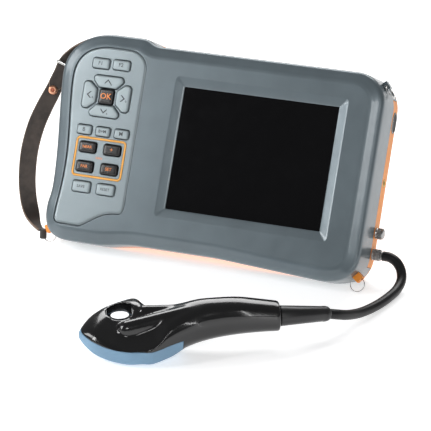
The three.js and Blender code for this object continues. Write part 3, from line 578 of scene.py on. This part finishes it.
def key_outline(node, direction):
    low, high = local_box(node)
    middle, size = (low + high) / 2, high - low
    if not direction:
        return rounded_rect(size.x, size.y, 1.5, middle.x, middle.y)
    turn = TURNS[direction]
    long, short = (size.y, size.x) if turn % 180 else (size.x, size.y)
    a, b, cut_back = long / 2, short / 2, 4.6
    corners = [(a, b - 1.6), (a - 1.6, b), (1.6 - a, b), (-a, b - 1.6), (-a, 0.6), (cut_back - a, -b),
               (a - cut_back, -b), (a, 0.6)]
    spin = Matrix.Rotation(math.radians(turn), 2)
    return rounded_polygon([spin @ Vector(c) + middle.xy for c in corners], 1.4)


# Each key: its direction or nothing, its legend, and whether it is a black key.
KEYS = {
    "key_top_left": (None, "F1", False), "key_top_right": (None, "F2", False),
    "key_up": ("up", "^", False), "key_left": ("left", "^", False),
    "key_right": ("right", "^", False), "key_down": ("down", "^", False),
    "key_ok": (None, "OK", True),
    "key_upper_1": (None, "B", False), "key_upper_2": (None, "B+M", False),
    "key_upper_3": (None, "M", False),
    "key_black_1": (None, "NEAR", True), "key_black_2": (None, "+", True),
    "key_black_3": (None, "FAR", True), "key_black_4": (None, "SET", True),
    "key_lower_1": (None, "SAVE", False), "key_lower_2": (None, "RESET", False),
}


def chevron(x, y, turn, size=1.9):
    """An arrow head that points along turn."""
    shape = [(0, 1), (-1.25, -0.35), (-1.25, -0.95), (0, 0.35), (1.25, -0.95), (1.25, -0.35)]
    spin = Matrix.Rotation(math.radians(turn), 2)
    points = [spin @ Vector((px * size, py * size)) for px, py in shape]
    faces = [(0, 1, 2, 3), (0, 3, 4, 5), (9, 8, 7, 6), (11, 10, 9, 6)]
    faces += [(i, (i + 1) % 6, (i + 1) % 6 + 6, i + 6) for i in range(6)]
    faces = [tuple(reversed(face)) for face in faces]
    return mesh_object("chevron", [(x + p.x, y + p.y, z) for z in (0, 0.06) for p in points], faces)


def lettering(text, x, y, height):
    """A printed legend, centred on x and y."""
    curve = bpy.data.curves.new("legend", "FONT")
    curve.body = text
    curve.size = height
    curve.extrude = 0.03
    curve.offset = 0.012 * height
    curve.resolution_u = 3
    curve.align_x, curve.align_y = "CENTER", "CENTER"
    obj = bpy.data.objects.new("legend", curve)
    bpy.context.scene.collection.objects.link(obj)
    bpy.context.view_layer.update()
    mesh = bpy.data.meshes.new_from_object(obj.evaluated_get(bpy.context.evaluated_depsgraph_get()))
    bpy.data.objects.remove(obj)
    solid = bpy.data.objects.new("legend", mesh)
    bpy.context.scene.collection.objects.link(solid)
    mesh.transform(Matrix.Translation((x, y, 0.03)))
    return solid


def add_keys():
    top = KEY_Z[1]
    # A soft pad: straight sides, a rounded shoulder, then rows that shrink towards the middle.
    shoulder = [(KEY_Z[0], 0), (top - 1.1, 0.05), (top - 0.62, 0.2), (top - 0.32, 0.48), (top - 0.15, 0.8),
                (top - 0.06, 1.1)]
    crown = [(top - 0.02, 0.86), (top, 0.66)]
    for node, (direction, text, black) in KEYS.items():
        middle = centre(node)
        outline = key_outline(node, direction)
        rim = inset(outline, shoulder[-1][1])
        sections = [[(x, y, z) for x, y in inset(outline, amount)] for z, amount in shoulder]
        sections += [[(middle.x + (x - middle.x) * k, middle.y + (y - middle.y) * k, z) for x, y in rim]
                     for z, k in crown]
        key = loft(sections)
        if text == "^":
            mark = merged(chevron(middle.x, middle.y, TURNS[direction]),
                          lettering("0", middle.x + 2.8, middle.y - 1.8, 2.0))
        else:
            height = {1: 4.0, 2: 3.8, 3: 3.1, 4: 2.8, 5: 2.7}[len(text)]
            mark = lettering(text, middle.x, middle.y, height * (1.5 if node == "key_ok" else 1))
        mark.data.transform(Matrix.Translation((0, 0, top - 0.01)))
        piece(key, node + "_cap", node,
              "black_key" if black else "key", replaces=[node], angle=50)
        piece(mark, node + "_legend", node,
              "orange_mark" if black else "mark", angle=20)


def add_keypad():
    low, high = PANEL_Z
    rows = [(low, 0), (high - 0.8, 0), (high - 0.48, 0.08), (high - 0.3, 0.32), (high - 0.16, 0.75),
            (high - 0.06, 1.3), (high, 2.0)]
    panel = layered(panel_outline(), rows)
    well = [(-10, -0.4), (high - 0.55, -0.4), (high - 0.25, -0.5), (high - 0.06, -0.72),
            (high + 0.4, -1.3)]
    for node, (direction, _, _) in KEYS.items():
        cut(panel, layered(key_outline(node, direction), well))
    x, y, width, height, line = -112.8, -15.1, 38.6, 28.6, 1.5
    groove = slab(rounded_rect(width + 0.5, height + 0.5, 3.4, x, y), high - 0.9, 10)
    island = slab(rounded_rect(width - 2 * line - 0.5, height - 2 * line - 0.5, 1.6, x, y), -10, 11)
    cut(panel, cut(groove, island))
    piece(panel, "keypad_face", "scanner", "panel", replaces=["keypad_panel"])
    middle = rounded_rect(width - line, height - line, 3.2 - line / 2, x, y, 8)
    add_frame_line([(px, py, high - 0.05) for px, py in middle], line)
    legend = lettering("GAIN", x, y, 2.1)
    legend.data.transform(Matrix.Translation((0, 0, high - 0.01)))
    piece(legend, "panel_legend", "scanner", "orange_mark", angle=20)


def add_frame_line(points, width):
    """The raised line round the black keys: a flattened wire."""
    line = tube(points, width / 2, closed=True)
    for vertex in line.data.vertices:
        vertex.co.z = PANEL_Z[1] + (vertex.co.z - PANEL_Z[1]) * 0.5
    piece(line, "accent_line", "scanner", "accent", replaces=["accent_frame"],
          angle=70)


def add_display():
    width, height = DISPLAY
    glass = slab(rounded_rect(width + 5.6, height + 5.6, 1.2), -2.6, -0.2, 0.3)
    piece(glass, "display_glass", "scanner", "glass", replaces=["screen_glass"])


# ---------------- rear shell and its parts
DOOR = {"x": 39, "y": -26, "width": 66, "height": 46, "thickness": 2}
BOSSES = [(73, 53), (73, -60), (-139.5, 44), (-136.5, -58)]
PLUG, AUX, JACK = (-52.3, -29.2), (-37.6, -29.2), (-2.7, -29.2)
POWER = {"y": 39.5, "z": -30, "height": 14.4, "depth": 8.4}
STAND = {"x": -31, "y": 42, "z": -40.5, "length": 104, "width": 66, "barrel": 2.5}


def along_x(outline, rows):
    """A solid from an outline in y and z: rows of (x, inset)."""
    return loft([[(x, y, z) for y, z in inset(outline, amount)] for x, amount in rows])


def power_outline(grow=0.0):
    height, depth = POWER["height"] + 2 * grow, POWER["depth"] + 2 * grow
    return rounded_rect(height, depth, depth / 2 - 0.01, POWER["y"], POWER["z"], 10)


def bracket(side):
    """A hinge ear outside each end of the stand's barrel, with a rounded nose."""
    near = STAND["x"] + side * (STAND["width"] / 2 + 0.4)
    low, high = sorted((near, near + side * 5))
    y, z, r = STAND["y"], STAND["z"], STAND["barrel"]
    ear = [(y + r, BACK_Z + 1), (y - r, BACK_Z + 1), (y - r, z)]
    ear += arc(y, z, r, 180, 360, 12)[1:]
    return along_x(ear, [(low, 0.35), (low + 0.4, 0), (high - 0.4, 0), (high, 0.35)])


def back_recesses():
    """Blind vent slots and the seat of a blank plate."""
    slots = [layered(rounded_rect(2.0, 22, 0.95, -118 + 6 * i, 18), [(-60, 0), (BACK_Z + 1.3, 0)])
             for i in range(7)]
    plate = layered(rounded_rect(42, 22, 2, -101, -26), [(-60, 0), (BACK_Z + 0.5, 0)])
    return [*slots, plate]


def add_rear_shell():
    outline = housing_outline()
    rows = [(BACK_Z, 3.4), (-37.2, 2.2), (-36.5, 1.4), (-35.6, 0.75), (-34.7, 0.4), (SPLIT_Z - GAP, 0.1)]
    shell = cut(layered(outline, rows), *corner_zones(GAP, CORNER_Z - GAP))
    inside = [(BACK_Z + WALL, WALL + 2.4), (BACK_Z + WALL + 2, WALL + 1.2), (0, WALL + 1.2)]
    shell = cut(shell, layered(outline, inside))
    for at in BOSSES:
        shell = join(shell, turned([(BACK_Z + 1, 3.4), (SPLIT_Z - GAP, 3.4)], at=at, sides=32))
        shell = cut(shell, turned([(-60, 1.7), (0, 1.7)], at=at, sides=24))
        seat = [(-60, 3.2), (BACK_Z, 3.2), (BACK_Z + 0.35, 2.9), (BACK_Z + 2.4, 2.9)]
        shell = cut(shell, turned(seat, at=at))
    opening = rounded_rect(DOOR["width"] + 2 * GAP, DOOR["height"] + 2 * GAP, 1.8, DOOR["x"], DOOR["y"])
    shell = cut(shell, layered(opening, [(-60, 0), (-30, 0)]), *back_recesses())
    shell = join(shell, bracket(-1), bracket(1))
    shell = cut(shell, turned([(-200, 1.4), (200, 1.4)], "x", (STAND["y"], STAND["z"]), 32))
    for at, radius in ((PLUG, 3.6), (AUX, 3.6), (JACK, 2.9)):
        shell = cut(shell, turned([(70, radius), (100, radius)], "x", at))
    shell = cut(shell, along_x(power_outline(GAP), [(RIGHT_X - 6, 0), (RIGHT_X + 6, 0)]), under_floor())
    piece(shell, "rear_housing", "scanner", "orange", replaces=["rear_shell"])


def add_door():
    """The battery door: soft outer edge, finger grooves and a shallow latch seat."""
    outline = rounded_rect(DOOR["width"], DOOR["height"], 1.5, DOOR["x"], DOOR["y"])
    rows = [(BACK_Z, 0.7), (BACK_Z + 0.2, 0.25), (BACK_Z + 0.6, 0), (BACK_Z + DOOR["thickness"], 0)]
    door = layered(outline, rows)
    top = DOOR["y"] + DOOR["height"] / 2
    grooves = [layered(rounded_rect(18, 1.3, 0.6, DOOR["x"], top - 6 - 2.6 * i),
                       [(-60, 0), (BACK_Z + 0.8, 0)]) for i in range(4)]
    latch = layered(rounded_rect(14, 3, 1.2, DOOR["x"], DOOR["y"] - DOOR["height"] / 2 + 4),
                    [(-60, 0), (BACK_Z + 0.6, 0)])
    piece(cut(door, *grooves, latch), "battery_door_panel", "battery_door",
          "orange", replaces=["battery_door"])


def add_screws():
    back = BACK_Z + 0.5
    head = [(back, 1.5), (back + 0.08, 2.0), (back + 0.3, 2.35), (back + 0.6, 2.5), (back + 1.6, 2.5)]
    for i, (x, y) in enumerate(BOSSES, 1):
        screw = turned([*head, (back + 1.61, 1.35), (-13.4, 1.35), (-13, 0.9)], at=(x, y))
        cross = [block((x - a, y - b, BACK_Z), (x + a, y + b, back + 1.0))
                 for a, b in ((0.4, 1.6), (1.6, 0.4))]
        piece(cut(screw, *cross), f"case_screw_head_{i}", "scanner", "steel",
              replaces=[f"case_screw_{i}"])


# ---------------- right side
def knurled(start, radius, bands):
    """Rows of a turned metal part whose bands (from, to) are knurled."""
    rows = [(start, radius - 0.35), (start + 0.3, radius - 0.05)]
    for low, high in bands:
        rows += [(low, radius - 0.3), (low + 0.15, radius, True), (high - 0.15, radius, True),
                 (high, radius - 0.3)]
    return rows


def add_side():
    """The plug and its collar, the capped socket, the jack and the power button. Returns the plug."""
    start = RIGHT_X + 0.1
    rows = [*knurled(start, 4.0, [(start + 0.9, start + 2.9), (start + 3.3, start + 5.2)]),
            (start + 5.6, 3.75), (start + 5.8, 3.45)]
    collar = turned(rows, "x", PLUG, 144, 36, 0.22)
    cut(collar, turned([(start - 2, 2.9), (start + 9, 2.9)], "x", PLUG))
    piece(collar, "plug_collar", "plug_ring", "nickel", replaces=["plug_ring"])
    rows = [(start, 2.5), (start + 5.9, 2.5), (start + 6.3, 2.35), (start + 6.6, 2.1)]
    plug = piece(turned(rows, "x", PLUG), "plug_body", "scanner", "nickel",
                 replaces=["probe_plug"])
    rows = [*knurled(start, 3.9, [(start + 1.0, start + 4.2)]), (start + 4.8, 3.7), (start + 5.3, 3.0),
            (start + 5.5, 2.0), (start + 5.6, 0.8)]
    piece(turned(rows, "x", AUX, 144, 34, 0.22), "socket_cap", "aux_cap", "nickel",
          replaces=["aux_cap"])
    jack = turned([(78, 2.4), (78.3, 2.6), (RIGHT_X - 0.4, 2.6), (RIGHT_X - 0.1, 2.35)], "x", JACK)
    cut(jack, turned([(84, 1.5), (87.9, 1.5), (RIGHT_X + 0.2, 1.85)], "x", JACK))
    join(jack, turned([(83, 0.5), (87.2, 0.5), (87.5, 0.25)], "x", JACK, 24))
    piece(jack, "jack_ring", "scanner", "brass", replaces=["dc_jack"])
    button = along_x(power_outline(), [(RIGHT_X - 4.5, 0), (RIGHT_X - 0.5, 0), (RIGHT_X - 0.2, 0.15),
                                       (RIGHT_X - 0.05, 0.5), (RIGHT_X - 0.3, 1.1), (RIGHT_X - 0.4, 2.2)])
    piece(button, "power_button_pad", "power_button", "rubber", replaces=["power_button"])
    middle = inset(power_outline(), 0.4)
    rim = tube([(RIGHT_X - 0.1, y, z) for y, z in middle], 0.3, 10, closed=True)
    piece(rim, "power_button_rim", "power_button", "nickel", angle=70)
    return plug


# ---------------- lugs, rings and strap
RING_RADIUS, RING_WIRE = 5.0, 0.26


def add_ring(corner, body):
    """A split ring: wire that goes nearly twice round and steps across once."""
    points = np.array([v.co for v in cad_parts[f"ring_{corner}"].data.vertices]) / MM
    middle = points.mean(0)
    _, _, axes = np.linalg.svd(points - middle)
    first, second, normal = (Vector(axis) for axis in axes)
    middle = Vector(middle)
    route = []
    for k in range(161):
        turn = 0.07 + 1.86 * k / 160
        step = min(1, max(0, (turn - 0.94) / 0.12))
        side = RING_WIRE * (2 * step * step * (3 - 2 * step) - 1)
        t = 2 * math.pi * turn
        route.append(middle + first * (RING_RADIUS * math.cos(t)) + second * (RING_RADIUS * math.sin(t))
                     + normal * side)
    piece(tube(route, RING_WIRE - 0.005, 10), f"split_ring_{corner}", body, "wire", WORLD,
          [f"ring_{corner}"], angle=60)


# Rows of x, y, z, the turn of the flat side away from the front, and the width.
STRAP = [
    (-142.6, 68.2, -19.5, -1.4, 8.2), (-148.2, 63.4, -17.5, -1.15, 9), (-153.5, 57.4, -15.8, -0.75, 9.2),
    (-158.3, 50.6, -15, -0.42, 9.2), (-160.2, 42.6, -15, -0.38, 10), (-163.8, 30, -15, -0.35, 11.4),
    (-168.6, 17, -15, -0.35, 12.2), (-172.6, 3, -15, -0.35, 12.5), (-174.6, -15, -15, -0.35, 12.5),
    (-173.2, -34, -15, -0.35, 12.3), (-169.6, -49, -15, -0.45, 12), (-164.8, -60, -15, -0.8, 11.6),
    (-160.2, -67, -15, -1.3, 10), (-155.6, -71, -15, -1.5, 8),
]
THICK = 1.8
LIFT = THICK + 0.35
BUCKLE_AT, SNAP_AT = 0.245, 0.385   # places along the strap, from 0 to 1
LUG = Vector((-148.6, -68.5, -14.0))   # the lug that holds the strap's lower ring


def catmull(rows, place):
    """A row interpolated at a place counted in rows, and its slope."""
    rows = np.array(rows, float)
    rows = np.vstack([2 * rows[0] - rows[1], rows, 2 * rows[-1] - rows[-2]])
    i = min(int(place), len(rows) - 4)
    t = place - i
    a, b, c, d = rows[i:i + 4]
    square, cube = 2 * a - 5 * b + 4 * c - d, 3 * b - a - 3 * c + d
    value = 0.5 * (2 * b + (c - a) * t + square * t * t + cube * t ** 3)
    slope = 0.5 * ((c - a) + 2 * square * t + 3 * cube * t * t)
    return value, slope


def band_frame(place):
    """The strap's middle, its directions along, across and out of its flat side, and its width."""
    value, slope = catmull(STRAP, place)
    along = Vector(slope[:3]).normalized()
    outward = along.cross(Vector((0, 0, 1))).normalized()
    front = outward.cross(along).normalized()
    face = front * math.cos(value[3]) + outward * math.sin(value[3])
    return Vector(value[:3]), along, along.cross(face), face, value[4]


def band(start, end, steps, lift=0.0, tongue=0.0):
    """A leather band with softened edges. A tongue is the length, in rows, of a rounded end."""
    sections = []
    for k in range(steps + 1):
        place = start + (end - start) * k / steps
        point, _, across, face, width = band_frame(place)
        if tongue:
            left = max(0.0, 1 - (end - place) / tongue)
            width *= max(0.25, math.sqrt(max(0.0, 1 - left * left)))
        outline = rounded_rect(width, THICK, 0.55, 0, 0, 3)
        sections.append([point + across * -u + face * (v + lift) for u, v in outline])
    strip = loft(sections)
    strip.data.materials.append(LOOK["leather"])
    strip.data.materials.append(LOOK["leather_edge"])
    # Of the 16 faces round each step, the two broad ones are leather and the rest cut edge.
    for polygon in strip.data.polygons[:steps * 16]:
        if polygon.index % 16 not in (3, 11):
            polygon.material_index = 1
    return strip


def leathered(strip, name, node):
    piece(strip, name, "scanner", None, replaces=[node], angle=50)


def ring_loop():
    """The strap's lower end folded round the nearest wire of its ring."""
    points = np.array([v.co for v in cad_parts["ring_bottom_left"].data.vertices]) / MM
    middle = Vector(points.mean(0))
    local = SCANNER.inverted() @ middle
    along = (local - LUG).normalized()
    side = Vector((1, 0, 0))
    wire = local - side * RING_RADIUS
    basis = Matrix((side, along.cross(side), along)).transposed().to_4x4()
    loop = cut(turned([(-3.4, 2.2), (-3.1, 2.5), (3.1, 2.5), (3.4, 2.2)], sides=32),
               turned([(-5, 0.8), (5, 0.8)], sides=24))
    loop.data.transform(Matrix.Translation(wire) @ basis)
    return loop


def on_band(solid, place, lift):
    """Places a solid on the strap: x across, y along and z out of its flat side."""
    point, along, _, face, _ = band_frame(place)
    basis = Matrix((along.cross(face), along, face)).transposed().to_4x4()
    solid.data.transform(Matrix.Translation(point + face * lift) @ basis)
    return solid


def add_strap():
    last = len(STRAP) - 1
    leathered(join(band(0, last, 170), ring_loop()), "leather_strap", "hand_strap")
    leathered(band(3, 5, 40, LIFT, tongue=0.45), "leather_strap_tail", "strap_tail")
    path = [(x, 0, z) for x, z in rounded_rect(11.05, 6.05, 0.9, 0, 0, 5)]
    loop = tube(path, 0.32, 12, closed=True)
    for vertex in loop.data.vertices:
        vertex.co.y *= 2.8
    piece(on_band(loop, BUCKLE_AT * last, LIFT / 2), "strap_loop", "scanner", "wire",
          replaces=["strap_buckle"], angle=60)
    rivet = [(0.15, 3.1), (0.3, 3.3), (0.6, 3.2), (1.0, 2.8), (1.3, 2.2), (1.45, 1.7), (1.3, 1.35),
             (0.95, 1.2)]
    place = SNAP_AT * last
    height = LIFT + THICK / 2 + 0.1
    piece(on_band(turned(rivet), place, height), "rivet_rim", "scanner", "copper",
          replaces=["strap_snap"], angle=45)
    core = turned([(0.96, 1.15), (1.1, 1.05), (1.18, 0.6), (1.2, 0.2)])
    piece(on_band(core, place, height), "rivet_core", "scanner", "copper_core", angle=45)


# ---------------- rear stand
HINGE = SCANNER @ Vector((STAND["x"], STAND["y"], STAND["z"]))
OPENING = math.acos(HINGE.z / STAND["length"]) + LEAN
STAND_FRAME = (SCANNER @ Matrix.Translation((STAND["x"], STAND["y"], STAND["z"]))
               @ Matrix.Rotation(OPENING, 4, "X"))


def add_stand():
    width, length = STAND["width"], STAND["length"]
    end = length - 6
    outline = rounded_rect(width, end - 4, 5, 0, -(end + 4) / 2, 8)
    plate = layered(outline, [(-1.2, 0.35), (-0.9, 0), (0.9, 0), (1.2, 0.35)])
    plate = join(plate, block((-width / 2, -12, -1.2), (width / 2, 0, 1.2)))
    plate = join(plate, turned([(-width / 2, 2.2), (-width / 2 + 0.3, 2.5), (width / 2 - 0.3, 2.5),
                                (width / 2, 2.2)], "x", (0, 0)))
    rim = cut(layered(inset(outline, 2), [(-2.4, 0.3), (-2.1, 0), (-1, 0)]),
              layered(inset(outline, 4), [(-3, 0), (0, 0)]))
    ribs = [layered(rounded_rect(1.6, end - 14, 0.7, x, -(end + 4) / 2), [(-2.3, 0.3), (-2.0, 0), (-1, 0)])
            for x in (-18, 0, 18)]
    plate = join(plate, rim, *ribs)
    cut(plate, turned([(-100, 1.4), (100, 1.4)], "x", (0, 0), 32))
    piece(plate, "stand_plate", "stand", "grey", STAND_FRAME, ["stand"])
    profile = rounded_rect(8.7, 4.9, 0.6, -(length + 3 + end + GAP) / 2, -0.9, 4)
    foot = along_x(profile, [(-width / 2 + 4, 0.6), (-width / 2 + 4.5, 0), (width / 2 - 4.5, 0),
                             (width / 2 - 4, 0.6)])
    grooves = [block((x - 0.4, -120, -4), (x + 0.4, -90, -2.9)) for x in range(-24, 25, 6)]
    foot = cut(foot, *grooves, under_floor(STAND_FRAME))
    piece(foot, "stand_foot_pad", "stand", "rubber", STAND_FRAME, ["stand_foot"])
    half = width / 2 + 5.6
    rows = [(STAND["x"] - half, 0.5), (STAND["x"] - half + 0.5, 1.1), (STAND["x"] + half - 0.5, 1.1),
            (STAND["x"] + half, 0.5)]
    piece(turned(rows, "x", (STAND["y"], STAND["z"]), 32), "stand_hinge_pin", "scanner",
          "steel", replaces=["stand_pin"])


# ---------------- transducer
# Rows of x, middle in y, half width, bottom and top.
HULL = [
    (-0.6, 0, 1.6, 8.2, 12.2), (3.2, 0, 7.8, 4.8, 15.6), (9, 0, 15.0, 2.2, 18.4),
    (18, 0, 21.8, 0.8, 20.6), (29, 0, 26.4, 0.1, 22.2), (38.5, 0.4, 27.4, 0, 23.4),
    (44, -4.0, 23.4, 0, 23.6), (50, -5.4, 19.6, 0, 24.2), (58, -3.8, 16.8, 0.2, 26.0),
    (68, -1.6, 14.6, 1.2, 28.4), (78, 0, 13.0, 3.0, 30.4), (90, 0, 11.9, 5.6, 31.4),
    (104, 0, 11.3, 7.3, 31.2), (118, 0, 10.2, 7.7, 29.0), (131, 0, 9.2, 7.4, 26.6),
]
SOLE_TOP, SOLE_END = 13.5, 66
ARRAY_POCKET = ((15.2, -14.3, 2.9), (61.8, -2.7, 30))
# Rows of x and the height of the head's sloping top at y = -60 and y = 60.
SLOPE = [(-20, 6.5, 33), (36, 6.5, 33), (48, 9.5, 36), (58, 15, 41.5), (72, 27, 53.5)]
# Each ridge on the back: its two ends and its radius.
RIDGES = [((30, -7, 18), (72, -1, 23.5), 6), ((43, 8, 20), (74, 3, 22.5), 4.6)]
HOLE = Vector((27, 10))
HOLE_RADIUS, HOLE_MOUTH = 9.2, 10.5
SLOT = (Vector((26.2, -0.5, 25.2)), Vector((30, 36, -2.8)))
SLOT_HALF_WIDTH, SLOT_HALF_HEIGHT = 6.1, 2.4


def hull_section(row, sides=72):
    """A cross-section of the hull, squarer in the head and most of all below."""
    x, middle, half, bottom, top = row
    head = min(1, max(0, (70 - x) / 12))
    head = head * head * (3 - 2 * head)
    section = []
    for i in range(sides):
        t = 2 * math.pi * (i + 0.5) / sides
        power = 0.84 - (0.4 if math.sin(t) < 0 else 0.12) * head
        u, v = (math.copysign(abs(f) ** power, f) for f in (math.cos(t), math.sin(t)))
        section.append((x, middle + half * u, (bottom + top) / 2 + (top - bottom) / 2 * v))
    return section


def capsule(start, end, radius):
    """A rounded ridge between two points."""
    start, end = Vector(start), Vector(end)
    along = (end - start).normalized()
    turns = [math.pi / 2 * k / 6 for k in range(7)]
    reach = [start - along * radius * math.cos(t) for t in turns]
    reach += [end + along * radius * math.sin(t) for t in turns]
    sizes = [radius * math.sin(t) for t in turns] + [radius * math.cos(t) for t in turns]
    last = len(reach) - 1
    return tube(reach, lambda t: max(0.05, sizes[round(t * last)]), 24)


def smoothed(obj, voxel, passes):
    """One even skin over overlapping solids, with its creases softened."""
    remesh = obj.modifiers.new("skin", "REMESH")
    remesh.mode, remesh.voxel_size = "VOXEL", voxel
    soft = obj.modifiers.new("soft", "SMOOTH")
    soft.factor, soft.iterations = 0.5, passes
    return applied(obj)


def sole_zone(grow):
    return block((-10, -60, -20), (SOLE_END + grow, 60, SOLE_TOP + grow))


def finger_slot():
    """The lower mouth of the finger hole, which leans towards the far side."""
    along = (SLOT[1] - SLOT[0]).normalized()
    side = (Vector((1, 0, 0)) - along * along.x).normalized()
    up = side.cross(along)
    turns = [2 * math.pi * k / 32 for k in range(32)]
    return loft([[p + side * (SLOT_HALF_WIDTH * math.cos(t)) - up * (SLOT_HALF_HEIGHT * math.sin(t))
                  for t in turns] for p in SLOT])


def in_finger_hole(face):
    """Whether a face of the sole lines the finger hole or the slot's lower mouth."""
    x, y, z = face.center
    in_slot = 14 < x < 40 and y > 10 and abs(face.normal.y) < 0.75 and 1.5 < z < 11
    return (face.center.xy - HOLE).length < HOLE_MOUTH or in_slot


def copy_of(obj):
    twin = obj.copy()
    twin.data = obj.data.copy()
    bpy.context.scene.collection.objects.link(twin)
    return twin


def add_probe():
    rows = [catmull(HULL, (len(HULL) - 1) * k / 110)[0] for k in range(111)]
    body = loft([hull_section(row) for row in rows])
    over_head = loft([[(x, -60, near), (x, 60, far), (x, 60, 90), (x, -60, 90)]
                      for x, near, far in SLOPE])
    cut(body, over_head)
    body = merged(body, *[capsule(*ridge) for ridge in RIDGES])
    hole = turned([(-20, HOLE_RADIUS), (60, HOLE_RADIUS)], at=HOLE, sides=64)
    body = smoothed(cut(smoothed(body, 0.8, 12), hole, finger_slot()), 0.6, 5)
    shell = cut(copy_of(body), sole_zone(GAP))
    piece(shell, "probe_body", "scanner", "gloss", PROBE, ["probe_shell"], angle=40)
    sole = cut(combine(body, "INTERSECT", sole_zone(0)), block(*ARRAY_POCKET))
    # The finger hole is lined in the shell's black.
    lined = [face.index for face in sole.data.polygons if in_finger_hole(face)]
    piece(sole, "probe_sole", "scanner", "lens", PROBE, ["probe_lens"], angle=40)
    sole.data.materials.append(LOOK["gloss"])
    for index in lined:
        sole.data.polygons[index].material_index = 1


def add_strain_relief():
    """A smooth tapered sleeve with a lip at its end."""
    start, turn = (PROBE @ Vector((x, 0, 17)) for x in (131 + GAP, 146))
    end = Vector((124.4, -101.4, 16.0))
    route = [start * (1 - t) ** 2 + turn * 2 * t * (1 - t) + end * t * t for t in (k / 60 for k in range(61))]

    def radius(t):
        taper = 6.9 - 2.0 * t
        lip = 0.22 * math.exp(-((t - 0.93) / 0.03) ** 4)
        rounding = 0.5 * max(0, (t - 0.98) / 0.02) ** 2 + 0.5 * max(0, (0.015 - t) / 0.015) ** 2
        return taper + lip - rounding

    return piece(tube(route, radius, 40), "strain_relief_sleeve", "scanner", "sleeve", WORLD,
                 ["probe_strain_relief"], angle=40)


# ---------------- parts kept from the frame
KEPT = {
    "keypad_membrane": "rubber", "keypad_board": "board", "display_module": "steel", "main_board": "board",
    "battery_pack": "battery", "probe_array": "steel", "probe_socket": "nickel", "aux_socket": "nickel",
    "strap_lug_bottom_right": "orange", "strap_lug_bottom_left": "orange",
    "strap_lug_top_right": "grey", "strap_lug_top_left": "grey",
}


def finish_kept():
    for node, look in KEPT.items():
        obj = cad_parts[node]
        if not obj.material_slots:
            obj.data.materials.append(None)
        for slot in obj.material_slots:
            slot.material = LOOK[look]
        bevel = obj.modifiers.new("edges", "BEVEL")
        bevel.width = (0.8 if "lug" in node else 0.25) * MM
        bevel.segments, bevel.limit_method = 3, "ANGLE"
        bevel.angle_limit = math.radians(40)


cable, route, cable_length = add_cable()
add_front_shell()
add_keypad()
add_keys()
add_display()
add_rear_shell()
add_door()
add_screws()
plug = add_side()
for ring, ring_body in (("bottom_right", "ring_bottom_right"), ("bottom_left", "scanner"),
                        ("top_right", "ring_top_right")):
    add_ring(ring, ring_body)
add_strap()
add_stand()
add_probe()
add_strain_relief()
finish_kept()

bpy.context.view_layer.update()
